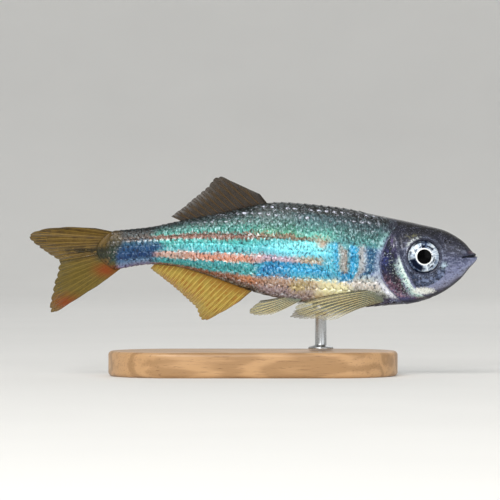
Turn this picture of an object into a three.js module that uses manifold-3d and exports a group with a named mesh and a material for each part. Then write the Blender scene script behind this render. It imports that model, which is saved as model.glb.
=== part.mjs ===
// A life-size giant danio, a slim stream fish, held level on one rod over a flat base.
// Millimetres, +Z up, snout towards +X, right flank towards -Y. The origin is the middle of the base's underside.
// s is the distance behind the snout tip, and h the height over the fish's own axis.

import * as THREE from "three";
import { mergeVertices } from "three/addons/utils/BufferGeometryUtils.js";
import Module from "manifold-3d";

const wasm = await Module();
wasm.setup();

// Driving dimensions
const TOTAL_LENGTH = 90;
const STANDARD_LENGTH = 72.6;
const AXIS_HEIGHT = 24;
const SEAM = 0.3;
const RING_POINTS = 32;
const BODY_STATIONS = 54;

const EYE = { s: 11.1, h: -0.2, side: 3.45, radius: 3.3, bulge: 1.25, depth: 2.7, yaw: 0.14, pitch: 0.07, facets: 24 };
const ORBIT_RIM = { width: 0.5, bulge: 0.62 };
const NOSTRIL = { s: [5.5, 6.5], h: [2.75, 2.95], radius: 0.36, depth: 0.5 };
const GILL_COVER = { proud: 0.22, sunk: 0.55, top: 3.4, bottom: -7.6 };
const RIDGE_RADIUS = 0.34;
const LIP_RADIUS = 0.34;
const BAR_SINK = { middle: 0.12, ends: 0.34 };
const STALK_START = 64.6;

const FIN = { root: 0.62, tip: 0.32, ridge: 0.24, notch: 0.965, rows: 6 };
const BASE = { length: 58, width: 27, height: 5, bevel: 0.8 };
const ROD = { s: 31.4, radius: 1.15, footRadius: 2.5, footHeight: 0.9, cupRadius: 1.7, cupHeight: 2.2 };

// Profiles of the body: [s, value] pairs, joined by a smooth curve
const BACK = [
  [0, -0.15], [1.4, 1.6], [3.6, 3.48], [6.6, 5.13], [11.6, 6.38], [19.6, 8.08], [28, 9.75],
  [38, 10.7], [42, 10.6], [50, 8.9], [58, 7.35], [66, 5.75], [72.6, 5.05],
];
const BELLY = [
  [0, -0.15], [1.4, -2.2], [3.6, -4.78], [7.6, -7.6], [12.6, -9.32], [18, -9.87], [26, -10.2],
  [36, -9.1], [44, -7.4], [54, -3.85], [60, -2.1], [66, -1.65], [72.6, -2.65],
];
const HALF_WIDTH = [
  [0, 0], [1.4, 1.3], [3.6, 2.3], [7, 3.25], [11, 4.05], [16, 4.65], [24, 4.85], [34, 4.6],
  [44, 3.9], [54, 2.9], [64, 1.95], [72.6, 1.0],
];
const WIDEST_LEVEL = [[0, -0.15], [8, -0.7], [20, -0.7], [36, 0.3], [54, 1.8], [72.6, 1.2]];
const BACK_POWER = 1.02;
const BELLY_POWER = 0.88;

// Edges seen from the side, as [s, h] points
const GILL_OPENING = [[15.7, 9.2], [16.6, 6.2], [18.7, 2.6], [19.8, -1.4], [19.1, -5.0], [16.4, -8.1], [12.6, -10.8]];
const PREOPERCLE = [[16.2, 5.0], [15.9, 3.4], [15.3, 0.6], [14.6, -2.6], [13.4, -5.6], [11.6, -7.8], [8.6, -9.4]];
const MOUTH_LINE = [[-1.5, 0.25], [0.4, 0.2], [1.8, 0.05], [3.5, -0.35], [4.9, -2.2], [6.1, -5.0], [7.4, -9.5]];
const MOUTH_CORNER = 3.5;

// A smooth curve through [s, value] pairs. It is drawn over the root of s, which rounds the snout.
function profile(pairs) {
  const at = pairs.map(([s]) => Math.sqrt(s));
  const value = pairs.map(([, v]) => v);
  const last = pairs.length - 1;
  const slope = value.map((v, i) => {
    const [a, b] = [Math.max(i - 1, 0), Math.min(i + 1, last)];
    return (value[b] - value[a]) / (at[b] - at[a]);
  });
  return (s) => {
    const x = Math.sqrt(Math.min(Math.max(s, 0), pairs[last][0]));
    let i = 0;
    while (i < last - 1 && x > at[i + 1]) i += 1;
    const span = at[i + 1] - at[i];
    const t = (x - at[i]) / span;
    const [t2, t3] = [t * t, t * t * t];
    return (
      value[i] * (2 * t3 - 3 * t2 + 1) +
      slope[i] * span * (t3 - 2 * t2 + t) +
      value[i + 1] * (3 * t2 - 2 * t3) +
      slope[i + 1] * span * (t3 - t2)
    );
  };
}

const back = profile(BACK);
const belly = profile(BELLY);
const halfWidth = profile(HALF_WIDTH);
const widestLevel = profile(WIDEST_LEVEL);

// Fish measures to the part's own frame
const place = (s, h, side = 0) => new THREE.Vector3(TOTAL_LENGTH / 2 - s, side, AXIS_HEIGHT + h);

// Half the body's width at a station and a height, with the skin moved out by grow
function flankAt(s, h, grow = 0) {
  const level = widestLevel(s);
  const rise = h > level ? back(s) + grow - level : level - belly(s) + grow;
  const sine = Math.min(Math.abs(h - level) / rise, 1);
  const power = h > level ? BACK_POWER : BELLY_POWER;
  return (halfWidth(s) + grow) * Math.pow(Math.sqrt(1 - sine * sine), power);
}

// A smooth curve through [s, h] points seen from the side, as a list of points
function sideCurve(points, steps) {
  const curve = new THREE.CatmullRomCurve3(points.map(([s, h]) => new THREE.Vector3(s, h, 0)), false, "centripetal");
  return curve.getPoints(steps).map((p) => [p.x, p.y]);
}

// A closed solid from a three.js geometry
function solidOf(geometry) {
  const bare = geometry.clone();
  bare.deleteAttribute("normal");
  bare.deleteAttribute("uv");
  const merged = mergeVertices(bare, 1e-4);
  return new wasm.Manifold(
    new wasm.Mesh({
      numProp: 3,
      vertProperties: merged.attributes.position.array,
      triVerts: new Uint32Array(merged.index.array),
    }),
  );
}

// A geometry from points and triangles
function geometryOf(points, triangles) {
  const flat = new Float32Array(points.flatMap((p) => [p.x, p.y, p.z]));
  return new THREE.BufferGeometry().setAttribute("position", new THREE.BufferAttribute(flat, 3)).setIndex(triangles);
}

// The whole body: rings of a rounded section carried along the fish, closed at the snout and behind
function bodySolid(grow = 0) {
  const points = [place(-grow, back(0))];
  const triangles = [];
  const end = STANDARD_LENGTH + grow;
  const spacing = 1.6;
  for (let i = 1; i <= BODY_STATIONS; i += 1) {
    const s = end * Math.pow(i / BODY_STATIONS, spacing);
    const level = widestLevel(s);
    for (let j = 0; j < RING_POINTS; j += 1) {
      const angle = (2 * Math.PI * j) / RING_POINTS;
      const [across, up] = [Math.cos(angle), Math.sin(angle)];
      const rise = up > 0 ? back(s) + grow - level : level - belly(s) + grow;
      const power = up > 0 ? BACK_POWER : BELLY_POWER;
      const side = Math.sign(across) * Math.pow(Math.abs(across), power) * (halfWidth(s) + grow);
      points.push(place(s, level + rise * up, side));
    }
  }
  const ring = (i, j) => 1 + (i - 1) * RING_POINTS + (j % RING_POINTS);
  for (let j = 0; j < RING_POINTS; j += 1) {
    triangles.push(0, ring(1, j), ring(1, j + 1));
    for (let i = 1; i < BODY_STATIONS; i += 1) {
      triangles.push(ring(i, j), ring(i + 1, j), ring(i + 1, j + 1), ring(i, j), ring(i + 1, j + 1), ring(i, j + 1));
    }
  }
  const tail = points.push(place(end, widestLevel(end))) - 1;
  for (let j = 0; j < RING_POINTS; j += 1) {
    triangles.push(tail, ring(BODY_STATIONS, j + 1), ring(BODY_STATIONS, j));
  }
  return solidOf(geometryOf(points, triangles));
}

// A prism right through the fish whose outline, seen from the side, is a list of [s, h] points
function sidePrism(outline, from = -12, to = 12) {
  const shape = new THREE.Shape(outline.map(([s, h]) => new THREE.Vector2(TOTAL_LENGTH / 2 - s, AXIS_HEIGHT + h)));
  const prism = new THREE.ExtrudeGeometry(shape, { depth: to - from, bevelEnabled: false });
  prism.rotateX(Math.PI / 2);
  prism.translate(0, to, 0);
  return solidOf(prism);
}

// Points moved sideways off their own curve, to the left of its direction
function offset(curve, distance) {
  return curve.map(([s, h], i) => {
    const [a, b] = [curve[Math.max(i - 1, 0)], curve[Math.min(i + 1, curve.length - 1)]];
    const [ds, dh] = [b[0] - a[0], b[1] - a[1]];
    const length = Math.hypot(ds, dh);
    return [s - (dh / length) * distance, h + (ds / length) * distance];
  });
}

// A round bar along a path of points
function bar(path, radius, sides = 6) {
  const section = new THREE.Shape();
  for (let i = 0; i < sides; i += 1) {
    const angle = (2 * Math.PI * i) / sides;
    const method = i ? "lineTo" : "moveTo";
    section[method](radius * Math.cos(angle), radius * Math.sin(angle));
  }
  const curve = new THREE.CatmullRomCurve3(path);
  return solidOf(new THREE.ExtrudeGeometry(section, { steps: 2 * path.length, extrudePath: curve, bevelEnabled: false }));
}

// An eye: a ball of one width, flatter outwards than inwards, turned to face out, forward and a little up
function eyeBall(side, grow = 0, bulge = EYE.bulge, rim = 0) {
  const ball = new THREE.SphereGeometry(1, EYE.facets, EYE.facets / 2);
  const spots = ball.attributes.position;
  for (let i = 0; i < spots.count; i += 1) {
    const out = spots.getZ(i);
    const reach = out > 0 ? bulge + grow : EYE.depth + grow;
    const radius = EYE.radius + grow + rim;
    spots.setXYZ(i, spots.getX(i) * radius, spots.getY(i) * radius, out * reach);
  }
  ball.rotateX(side < 0 ? Math.PI / 2 : -Math.PI / 2);
  ball.rotateX(side < 0 ? -EYE.pitch : EYE.pitch);
  ball.rotateZ(side < 0 ? EYE.yaw : -EYE.yaw);
  const centre = place(EYE.s, EYE.h, side * EYE.side);
  ball.translate(centre.x, centre.y, centre.z);
  return solidOf(ball);
}

// Keeps a solid's largest closed surface
function largest(solid) {
  return solid.decompose().sort((a, b) => b.volume() - a.volume())[0];
}

const body = bodySolid();
const bodyClear = bodySolid(SEAM);

// The head in front of the gill opening, and everything behind it
const gillEdge = sideCurve(GILL_OPENING, 26);
const frontOfGill = sidePrism([...gillEdge, [-5, -16], [-5, 16]]);
const behindGill = sidePrism([...offset(gillEdge, SEAM), [12, -20], [80, -20], [80, 20], [15, 20]]);

// The lower jaw, below the mouth line and the fold of the cheek
const mouthEdge = sideCurve(MOUTH_LINE, 24);
const belowMouth = sidePrism([...offset(mouthEdge, -SEAM), [-6, -14]]);
const aboveMouth = sidePrism([...mouthEdge, [22, -14], [22, 16], [-6, 16]]);
const underMouth = sidePrism([...mouthEdge, [-6, -14]]);

// A gill cover's outline, between the cheek's ridge and the gill opening
function gillCoverOutline(grow) {
  const within = ([, h]) => h < GILL_COVER.top + grow && h > GILL_COVER.bottom - grow;
  const front = offset(sideCurve(PREOPERCLE, 20), -grow).filter(within);
  const rear = gillEdge.filter(within);
  return [...front.reverse(), ...(grow ? offset(rear, 1) : rear)];
}

function gillCoverSlot(side, grow) {
  const [from, to] = side < 0 ? [-12, 0] : [0, 12];
  return sidePrism(gillCoverOutline(grow), from, to);
}

function gillCover(side) {
  const shell = bodySolid(GILL_COVER.proud).subtract(bodySolid(-GILL_COVER.sunk));
  return largest(shell.intersect(gillCoverSlot(side, 0)));
}

// How deep a bar on the skin sinks, t from one end at 0 to the other at 1: its ends run down into the skin
const sinkAt = (t) => BAR_SINK.middle + BAR_SINK.ends * Math.pow(Math.abs(2 * t - 1), 4);

// A bar that lies on the skin, at [s, h] points seen from the side
function skinBar(points, side, radius) {
  const last = points.length - 1;
  return bar(points.map(([s, h], i) => place(s, h, side * (flankAt(s, h) - sinkAt(i / last)))), radius);
}

// A lip from one corner of the mouth round the snout to the other
function lip(lift, tip) {
  const line = sideCurve(MOUTH_LINE, 12).filter(([s]) => s > 0.7 && s < MOUTH_CORNER);
  const flank = line.map(([s, h]) => [s, h + lift]);
  const spread = 2 * flank.length;
  const half = (side) =>
    flank.map(([s, h], i) => place(s, h, side * (flankAt(s, h) - sinkAt(0.5 + i / (spread - 2)))));
  return bar([...half(-1).reverse(), place(tip, flank[0][1]), ...half(1)], LIP_RADIUS);
}

function head() {
  const sides = [-1, 1];
  let solid = body.intersect(frontOfGill).intersect(aboveMouth);
  const cheekRidge = offset(sideCurve(PREOPERCLE, 12), -0.75).filter(([, h]) => h < 3 && h > -7.4);
  const seat = bodySolid(2).subtract(bodySolid(-GILL_COVER.sunk - SEAM));
  for (const side of sides) {
    solid = solid.add(eyeBall(side, 0, ORBIT_RIM.bulge, ORBIT_RIM.width));
    solid = solid.add(skinBar(cheekRidge, side, RIDGE_RADIUS));
  }
  solid = solid.add(lip(0.42, 0.75));
  for (const side of sides) {
    solid = solid.subtract(seat.intersect(gillCoverSlot(side, SEAM)));
    solid = solid.subtract(eyeBall(side, SEAM));
    for (const i of [0, 1]) {
      const hole = new THREE.SphereGeometry(1, 8, 4);
      hole.scale(NOSTRIL.radius, NOSTRIL.depth, NOSTRIL.radius);
      const [s, h] = [NOSTRIL.s[i], NOSTRIL.h[i]];
      const spot = place(s, h, side * flankAt(s, h));
      hole.translate(spot.x, spot.y, spot.z);
      solid = solid.subtract(solidOf(hole));
    }
  }
  return largest(solid.subtract(underMouth).intersect(frontOfGill));
}

function lowerJaw() {
  const jaw = body.intersect(frontOfGill).add(lip(-0.72, 0.2));
  return largest(jaw.intersect(belowMouth));
}

function torso() {
  const trunk = sidePrism([[5, -20], [STALK_START, -20], [STALK_START, 20], [5, 20]]);
  return largest(body.intersect(behindGill).intersect(trunk));
}

function tailStalk() {
  const rear = sidePrism([[STALK_START + SEAM, -20], [80, -20], [80, 20], [STALK_START + SEAM, 20]]);
  return largest(body.intersect(rear));
}

// A fin: a web between rays, with each ray a ridge on both faces. root(u) and tip(u) are points for the ray at u,
// from 0 at the first ray to 1 at the last. Rays bow a little, and the web falls short of their tips.
function fin({ rays, root, tip, bow = 0, stout = 1 }) {
  const columns = 2 * rays - 1;
  const grid = [];
  for (let c = 0; c < columns; c += 1) {
    const u = c / (columns - 1);
    const [start, end] = [root(u), tip(u)];
    const reach = c % 2 ? FIN.notch : 1;
    const line = [];
    for (let r = 0; r <= FIN.rows; r += 1) {
      const v = (reach * r) / FIN.rows;
      const spot = start.clone().lerp(end, v);
      spot.z += bow * start.distanceTo(end) * v * (1 - v);
      line.push(spot);
    }
    grid.push(line);
  }
  const faces = [[], []];
  for (let c = 0; c < columns; c += 1) {
    for (let r = 0; r <= FIN.rows; r += 1) {
      const along = grid[c][Math.min(r + 1, FIN.rows)].clone().sub(grid[c][Math.max(r - 1, 0)]);
      const over = grid[Math.min(c + 1, columns - 1)][r].clone().sub(grid[Math.max(c - 1, 0)][r]);
      const normal = over.cross(along).normalize();
      const v = r / FIN.rows;
      const web = FIN.root + (FIN.tip - FIN.root) * v;
      const ray = c % 2 ? 0 : FIN.ridge * (1 - 0.75 * v);
      const half = (stout * (web + ray)) / 2;
      faces[0].push(grid[c][r].clone().addScaledVector(normal, half));
      faces[1].push(grid[c][r].clone().addScaledVector(normal, -half));
    }
  }
  const wide = FIN.rows + 1;
  const count = columns * wide;
  const id = (face, c, r) => face * count + c * wide + r;
  const triangles = [];
  const quad = (a, b, c, d) => triangles.push(a, b, c, a, c, d);
  for (let c = 0; c < columns - 1; c += 1) {
    for (let r = 0; r < FIN.rows; r += 1) {
      quad(id(0, c, r), id(0, c + 1, r), id(0, c + 1, r + 1), id(0, c, r + 1));
      const [a, b, d, e] = [id(1, c, r), id(1, c + 1, r), id(1, c + 1, r + 1), id(1, c, r + 1)];
      triangles.push(a, d, b, a, e, d);
    }
    quad(id(0, c + 1, 0), id(0, c, 0), id(1, c, 0), id(1, c + 1, 0));
    quad(id(0, c, FIN.rows), id(0, c + 1, FIN.rows), id(1, c + 1, FIN.rows), id(1, c, FIN.rows));
  }
  for (let r = 0; r < FIN.rows; r += 1) {
    quad(id(0, 0, r), id(0, 0, r + 1), id(1, 0, r + 1), id(1, 0, r));
    quad(id(0, columns - 1, r + 1), id(0, columns - 1, r), id(1, columns - 1, r), id(1, columns - 1, r + 1));
  }
  const made = solidOf(geometryOf([...faces[0], ...faces[1]], triangles));
  const outward = made.volume() < 0 ? solidOf(geometryOf([...faces[1], ...faces[0]], triangles)) : made;
  return largest(outward.subtract(bodyClear));
}

// A margin: a smooth curve over u through [u, s, h, side] points
function margin(points) {
  const track = (k) => {
    const pairs = points.map((p) => [p[0] * p[0], p[k]]);
    return profile(pairs);
  };
  const [s, h, side] = [track(1), track(2), track(3)];
  return (u) => place(s(u * u), h(u * u), side(u * u));
}

// Median fins: how far the tips sway to one side
const SWAY = { dorsal: -0.5, anal: 0.45, caudal: 0.9 };

function dorsalFin() {
  const root = (u) => {
    const s = 41.4 + 16.4 * u;
    return place(s, back(s) - 1.2);
  };
  const edge = [
    [0, 43.6, 12.4, 0], [0.09, 48.2, 14.5, SWAY.dorsal], [0.18, 51.6, 16.0, SWAY.dorsal],
    [0.4, 54.2, 13.8, SWAY.dorsal], [0.7, 57.4, 11.1, SWAY.dorsal], [1, 61.4, 7.9, SWAY.dorsal],
  ];
  return fin({ rays: 12, root, tip: margin(edge), bow: -0.03 });
}

function analFin() {
  const root = (u) => {
    const s = 45.0 + 19.0 * u;
    return place(s, belly(s) + 1.0);
  };
  const edge = [
    [0, 47.8, -9.2, 0], [0.06, 51.0, -11.2, SWAY.anal], [0.12, 54.7, -13.0, SWAY.anal],
    [0.3, 56.5, -10.4, SWAY.anal], [0.6, 60.2, -6.8, SWAY.anal], [1, 65.6, -2.5, SWAY.anal],
  ];
  return fin({ rays: 16, root, tip: margin(edge), bow: 0.04 });
}

function caudalUpperLobe() {
  const root = (u) => place(71.4 + 0.6 * u, 4.5 - 3.05 * u);
  const edge = [
    [0, 76.6, 5.6, 0], [0.12, 82.6, 5.8, 0], [0.24, 88.0, 5.2, SWAY.caudal], [0.36, 90.0, 3.9, SWAY.caudal],
    [0.55, 88.2, 2.0, SWAY.caudal], [0.75, 86.3, 0.7, 0.6], [1, 83.8, -0.85, 0.3],
  ];
  return fin({ rays: 10, root, tip: margin(edge), bow: 0.02 });
}

function caudalLowerLobe() {
  const root = (u) => place(72.0 - 0.9 * u, 1.05 - 3.25 * u);
  const edge = [
    [0, 83.8, -1.35, 0.3], [0.25, 84.6, -4.4, 0.5], [0.45, 85.3, -7.4, SWAY.caudal],
    [0.64, 85.8, -10.6, SWAY.caudal], [0.76, 85.0, -11.4, SWAY.caudal], [0.88, 81.0, -9.0, 0.4], [1, 76.4, -6.1, 0],
  ];
  return fin({ rays: 10, root, tip: margin(edge), bow: -0.02 });
}

// The right pectoral fin lies back along the belly. The left one is let down further.
const PECTORAL = {
  "-1": [
    [0, 36.2, -9.3, 5.2], [0.2, 35.6, -10.8, 5.6], [0.45, 32.6, -12.3, 5.6], [0.75, 29.0, -12.9, 5.2], [1, 26.2, -11.6, 4.2],
  ],
  1: [
    [0, 36.9, -11.2, 5.4], [0.2, 37.4, -12.4, 5.6], [0.45, 34.6, -12.8, 5.4], [0.75, 30.6, -12.6, 5.0], [1, 26.8, -11.8, 4.2],
  ],
};

function pectoralFin(side) {
  const root = (u) => {
    const [s, h] = [20.9 + 0.7 * u, -6.5 - 2.1 * u];
    return place(s, h, side * (flankAt(s, h) - 0.7));
  };
  const edge = PECTORAL[side].map(([u, s, h, out]) => [u, s, h, side * out]);
  return fin({ rays: 11, root, tip: margin(edge), bow: side < 0 ? 0.05 : 0.02 });
}

// A pelvic fin lies back under the belly, from its inner ray at 0 to its stout outer ray at 1
function pelvicFin(side) {
  const root = (u) => {
    const s = 37.4 - 2.4 * u;
    return place(s, belly(s) + 0.75, side * (1.35 + 0.95 * u));
  };
  const edge = [[0, 43.4, -9.5, 2.0], [0.35, 45.8, -11.1, 3.0], [0.6, 44.6, -11.7, 3.5], [1, 40.6, -11.5, 3.7]];
  return fin({ rays: 7, root, tip: margin(edge.map(([u, s, h, out]) => [u, s, h, side * out])), bow: 0.02 });
}

// A flat base with round ends
function standBase() {
  const radius = BASE.width / 2 - BASE.bevel;
  const reach = (BASE.length - BASE.width) / 2;
  const outline = new THREE.Shape();
  outline.absarc(reach, 0, radius, -Math.PI / 2, Math.PI / 2);
  outline.absarc(-reach, 0, radius, Math.PI / 2, (3 * Math.PI) / 2);
  const plate = new THREE.ExtrudeGeometry(outline, {
    depth: BASE.height - 2 * BASE.bevel,
    bevelThickness: BASE.bevel,
    bevelSize: BASE.bevel,
    bevelSegments: 2,
    curveSegments: 18,
  });
  plate.translate(0, 0, BASE.bevel);
  return solidOf(plate);
}

// A rod with a foot and a cupped head that takes the belly
function standRod() {
  const foot = BASE.height + SEAM;
  const top = AXIS_HEIGHT + belly(ROD.s) + 1.2;
  const cup = AXIS_HEIGHT + belly(ROD.s) - ROD.cupHeight;
  const outline = [
    [0, foot], [ROD.footRadius, foot], [ROD.footRadius, foot + ROD.footHeight / 2],
    [ROD.radius, foot + ROD.footHeight], [ROD.radius, cup], [ROD.cupRadius, cup + 0.8], [ROD.cupRadius, top], [0, top],
  ];
  const rod = new THREE.LatheGeometry(outline.map(([r, z]) => new THREE.Vector2(r, z)), 24);
  rod.rotateX(Math.PI / 2);
  rod.translate(TOTAL_LENGTH / 2 - ROD.s, 0, 0);
  return largest(solidOf(rod).subtract(bodyClear));
}

const finish = (color, roughness, metalness = 0) => new THREE.MeshStandardMaterial({ color, roughness, metalness });
const FINISHES = {
  head: finish(0x5f6a80, 0.35, 0.3),
  flank: finish(0x3fb4bf, 0.35, 0.3),
  eye: finish(0xd8dde0, 0.1, 0.2),
  finWeb: finish(0x9a8f5c, 0.5),
  base: finish(0x2b2724, 0.5),
  rod: finish(0xb8bcc0, 0.3, 1),
};

const group = new THREE.Group();

function node(name, solid, material) {
  const mesh = solid.getMesh();
  const geometry = new THREE.BufferGeometry();
  geometry.setAttribute("position", new THREE.BufferAttribute(new Float32Array(mesh.vertProperties), 3));
  geometry.setIndex(new THREE.BufferAttribute(new Uint32Array(mesh.triVerts), 1));
  geometry.computeVertexNormals();
  const made = new THREE.Mesh(geometry, material);
  made.name = name;
  group.add(made);
}

node("head", head(), FINISHES.head);
node("lower_jaw", lowerJaw(), FINISHES.head);
node("torso", torso(), FINISHES.flank);
node("tail_stalk", tailStalk(), FINISHES.flank);
for (const [name, side] of [["right", -1], ["left", 1]]) {
  node(`eye_${name}`, eyeBall(side), FINISHES.eye);
  node(`gill_cover_${name}`, gillCover(side), FINISHES.head);
  node(`pectoral_fin_${name}`, pectoralFin(side), FINISHES.finWeb);
  node(`pelvic_fin_${name}`, pelvicFin(side), FINISHES.finWeb);
}
node("dorsal_fin", dorsalFin(), FINISHES.finWeb);
node("anal_fin", analFin(), FINISHES.finWeb);
node("caudal_fin_upper_lobe", caudalUpperLobe(), FINISHES.finWeb);
node("caudal_fin_lower_lobe", caudalLowerLobe(), FINISHES.finWeb);
node("stand_base", standBase(), FINISHES.base);
node("stand_rod", standRod(), FINISHES.rod);

export default group;
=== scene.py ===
"""A life-size giant danio, held level on a plain display stand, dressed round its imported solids.

Shapes are worked out in millimetres in the fish's own measures: s is the distance behind the snout tip, h
the height over the fish's axis. The snout is towards +X and the right flank towards -Y. """
import math

import bpy
import numpy as np
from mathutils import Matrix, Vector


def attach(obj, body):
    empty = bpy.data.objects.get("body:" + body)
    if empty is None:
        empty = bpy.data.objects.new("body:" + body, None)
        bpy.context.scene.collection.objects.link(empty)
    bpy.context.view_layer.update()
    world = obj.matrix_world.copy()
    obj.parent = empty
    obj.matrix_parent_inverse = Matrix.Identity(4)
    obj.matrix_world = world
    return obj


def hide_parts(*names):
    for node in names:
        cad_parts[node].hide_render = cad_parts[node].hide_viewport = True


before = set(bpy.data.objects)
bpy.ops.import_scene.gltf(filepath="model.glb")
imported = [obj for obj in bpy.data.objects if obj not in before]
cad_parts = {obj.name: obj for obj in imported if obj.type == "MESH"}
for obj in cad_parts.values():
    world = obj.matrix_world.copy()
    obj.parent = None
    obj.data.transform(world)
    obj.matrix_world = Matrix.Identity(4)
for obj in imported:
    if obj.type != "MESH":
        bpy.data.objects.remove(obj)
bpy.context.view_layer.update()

MM = 0.001
RANDOM = np.random.default_rng(7)

# Driving dimensions, as in the part's source
TOTAL_LENGTH = 90.0
STANDARD_LENGTH = 72.6
AXIS_HEIGHT = 24.0
EYE = {
    "s": 11.05, "h": -0.2, "side": 3.45, "yaw": 0.14, "pitch": 0.07,
    "radius": 3.3, "bulge": 1.25, "depth": 2.7, "cornea": 0.1,
}
NOSTRILS = [(5.5, 2.75), (6.5, 2.95)]
BASE = {"length": 58.0, "width": 27.0, "height": 5.0, "bevel": 0.8}
ROD = {"s": 31.4, "radius": 1.15, "foot_radius": 2.5, "cup_radius": 1.7, "cup_height": 2.2, "lip": 0.1}
SEAM = 0.3

BACK = [
    (0, -0.15), (1.4, 1.6), (3.6, 3.48), (6.6, 5.13), (11.6, 6.38), (19.6, 8.08), (28, 9.75),
    (38, 10.7), (42, 10.6), (50, 8.9), (58, 7.35), (66, 5.75), (72.6, 5.05),
]
BELLY = [
    (0, -0.15), (1.4, -2.2), (3.6, -4.78), (7.6, -7.6), (12.6, -9.32), (18, -9.87), (26, -10.2),
    (36, -9.1), (44, -7.4), (54, -3.85), (60, -2.1), (66, -1.65), (72.6, -2.65),
]
HALF_WIDTH = [
    (0, 0), (1.4, 1.3), (3.6, 2.3), (7, 3.25), (11, 4.05), (16, 4.65), (24, 4.85), (34, 4.6),
    (44, 3.9), (54, 2.9), (64, 1.95), (72.6, 1.0),
]
WIDEST_LEVEL = [(0, -0.15), (8, -0.7), (20, -0.7), (36, 0.3), (54, 1.8), (72.6, 1.2)]
BACK_POWER = 1.02
BELLY_POWER = 0.88
TAIL_LAP = 3.8

# Edges seen from the side, as (s, h) points
GILL_OPENING = [
    (15.7, 9.2), (16.6, 6.2), (18.7, 2.6), (19.8, -1.4), (19.1, -5.0), (16.4, -8.1), (12.6, -10.8),
]
PREOPERCLE = [
    (16.5, 5.0), (16.3, 3.0), (16.0, 0.4), (15.55, -1.3), (14.95, -2.9), (14.15, -4.4), (13.3, -6.0),
    (12.0, -7.3), (10.2, -8.3), (8.4, -9.2),
]
MOUTH_LINE = [(-1.5, 0.1), (0.2, 0.02), (1.6, -0.1), (2.9, -0.28), (3.9, -1.0), (4.8, -2.4)]
SUBOPERCLE = [(19.7, -3.6), (18.3, -5.7), (15.8, -7.3), (13.0, -8.1)]
CHEEK_MARGIN = [(6.4, -2.2), (6.7, -3.9), (8.3, -5.3), (10.4, -6.2), (12.4, -6.1), (13.7, -4.6), (14.3, -2.4)]
CHEEK_SEAMS = [[(9.4, -3.6), (8.2, -5.1)], [(12.0, -3.4), (11.8, -6.0)], [(7.5, -1.6), (6.3, -2.6)]]
THROAT_FOLDS = [[(18.6, -6.6), (15.6, -8.5), (11.0, -8.9)], [(18.0, -8.0), (15.0, -9.3), (10.6, -9.3)]]

# Where each stripe runs, as a share of the depth from the back at (s, share) points. Line 2 is the upper
# orange stripe, 3 the pale blue band, 4 the middle orange stripe, 5 the deep blue band, 6 the lower orange
# stripe, and these five have their points at the same stations.
STRIPE_STATIONS = (0, 31.6, 39.6, 47.6, 54.2, 60.3, 64, 73.6)
STRIPE_LINES = [
    [(0, 0), (80, 0)],
    [(0, 0.14), (31.6, 0.144), (39.6, 0.152), (47.6, 0.128), (55.6, 0.12), (63.6, 0.10), (80, 0.07)],
    *[list(zip(STRIPE_STATIONS, shares)) for shares in (
        (0.36, 0.355, 0.352, 0.355, 0.347, 0.335, 0.305, 0.22),
        (0.45, 0.454, 0.468, 0.487, 0.512, 0.545, 0.54, 0.46),
        (0.57, 0.572, 0.585, 0.64, 0.705, 0.77, 0.76, 0.72),
        (0.665, 0.665, 0.69, 0.76, 0.86, 0.925, 0.905, 0.86),
        (0.81, 0.805, 0.828, 0.9, 0.97, 0.985, 0.98, 0.96),
    )],
    [(0, 1), (80, 1)],
]


# Plain geometry

def cubic(at, value, x):
    """The rows of value read off at x: cubic pieces through the places at, whose slopes are the chords
    between the neighbours of each place."""
    last = len(at) - 1
    low, high = np.maximum(np.arange(last + 1) - 1, 0), np.minimum(np.arange(last + 1) + 1, last)
    slope = (value[high] - value[low]) / (at[high] - at[low])[:, None]
    i = np.clip(np.searchsorted(at, x, side="right") - 1, 0, last - 1)
    span = (at[i + 1] - at[i])[..., None]
    t = (x - at[i])[..., None] / span
    return (
        value[i] * (2 * t**3 - 3 * t**2 + 1)
        + slope[i] * span * (t**3 - 2 * t**2 + t)
        + value[i + 1] * (3 * t**2 - 2 * t**3)
        + slope[i + 1] * span * (t**3 - t**2)
    )


def smooth_through(pairs):
    """A function of s that runs smoothly through (s, value) pairs, in cubic pieces over the root of s."""
    s, value = np.array(pairs, float).T
    return lambda x: cubic(np.sqrt(s), value[:, None], np.sqrt(np.clip(x, 0, s[-1])))[..., 0]


def smooth_line(points, steps=12):
    """A dense line through (s, h) points, steps to a piece, in cubic pieces over the roots of the chords."""
    points = np.array(points, float)
    chords = np.sqrt(np.linalg.norm(np.diff(points, axis=0), axis=1))
    at = np.concatenate([[0], np.cumsum(chords)])
    return cubic(at, points, np.linspace(0, at[-1], len(chords) * steps + 1))


def across(points, s, h):
    """How far each (s, h) lies from a line through points: positive on its left."""
    line = smooth_line(points)
    start, step = line[:-1], np.diff(line, axis=0)
    away_s, away_h = s.reshape(-1, 1) - start[:, 0], h.reshape(-1, 1) - start[:, 1]
    t = np.clip((away_s * step[:, 0] + away_h * step[:, 1]) / (step**2).sum(1), 0, 1)
    gap = np.hypot(away_s - t * step[:, 0], away_h - t * step[:, 1])
    nearest = gap.argmin(1)
    row = np.arange(len(nearest))
    left = np.sign(step[nearest, 0] * away_h[row, nearest] - step[nearest, 1] * away_s[row, nearest])
    return (left * gap[row, nearest]).reshape(s.shape)


def rise(x, low, high):
    """0 below low, 1 above high, and an S-curve between them. It falls instead where high is under low."""
    t = np.clip((x - low) / (high - low), 0, 1)
    return t * t * (3 - 2 * t)


def hump(x, middle, spread):
    """A bell curve of height 1."""
    return np.exp(-(((x - middle) / spread) ** 2))


def place(s, h, side=0.0):
    """Fish measures to the part's frame, in millimetres, as an array with x, y and z last."""
    s, h, side = np.broadcast_arrays(np.asarray(s, float), h, side)
    return np.stack([TOTAL_LENGTH / 2 - s, side, AXIS_HEIGHT + h], -1)


def unit(v):
    return v / np.maximum(np.linalg.norm(v, axis=-1, keepdims=True), 1e-9)


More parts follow.
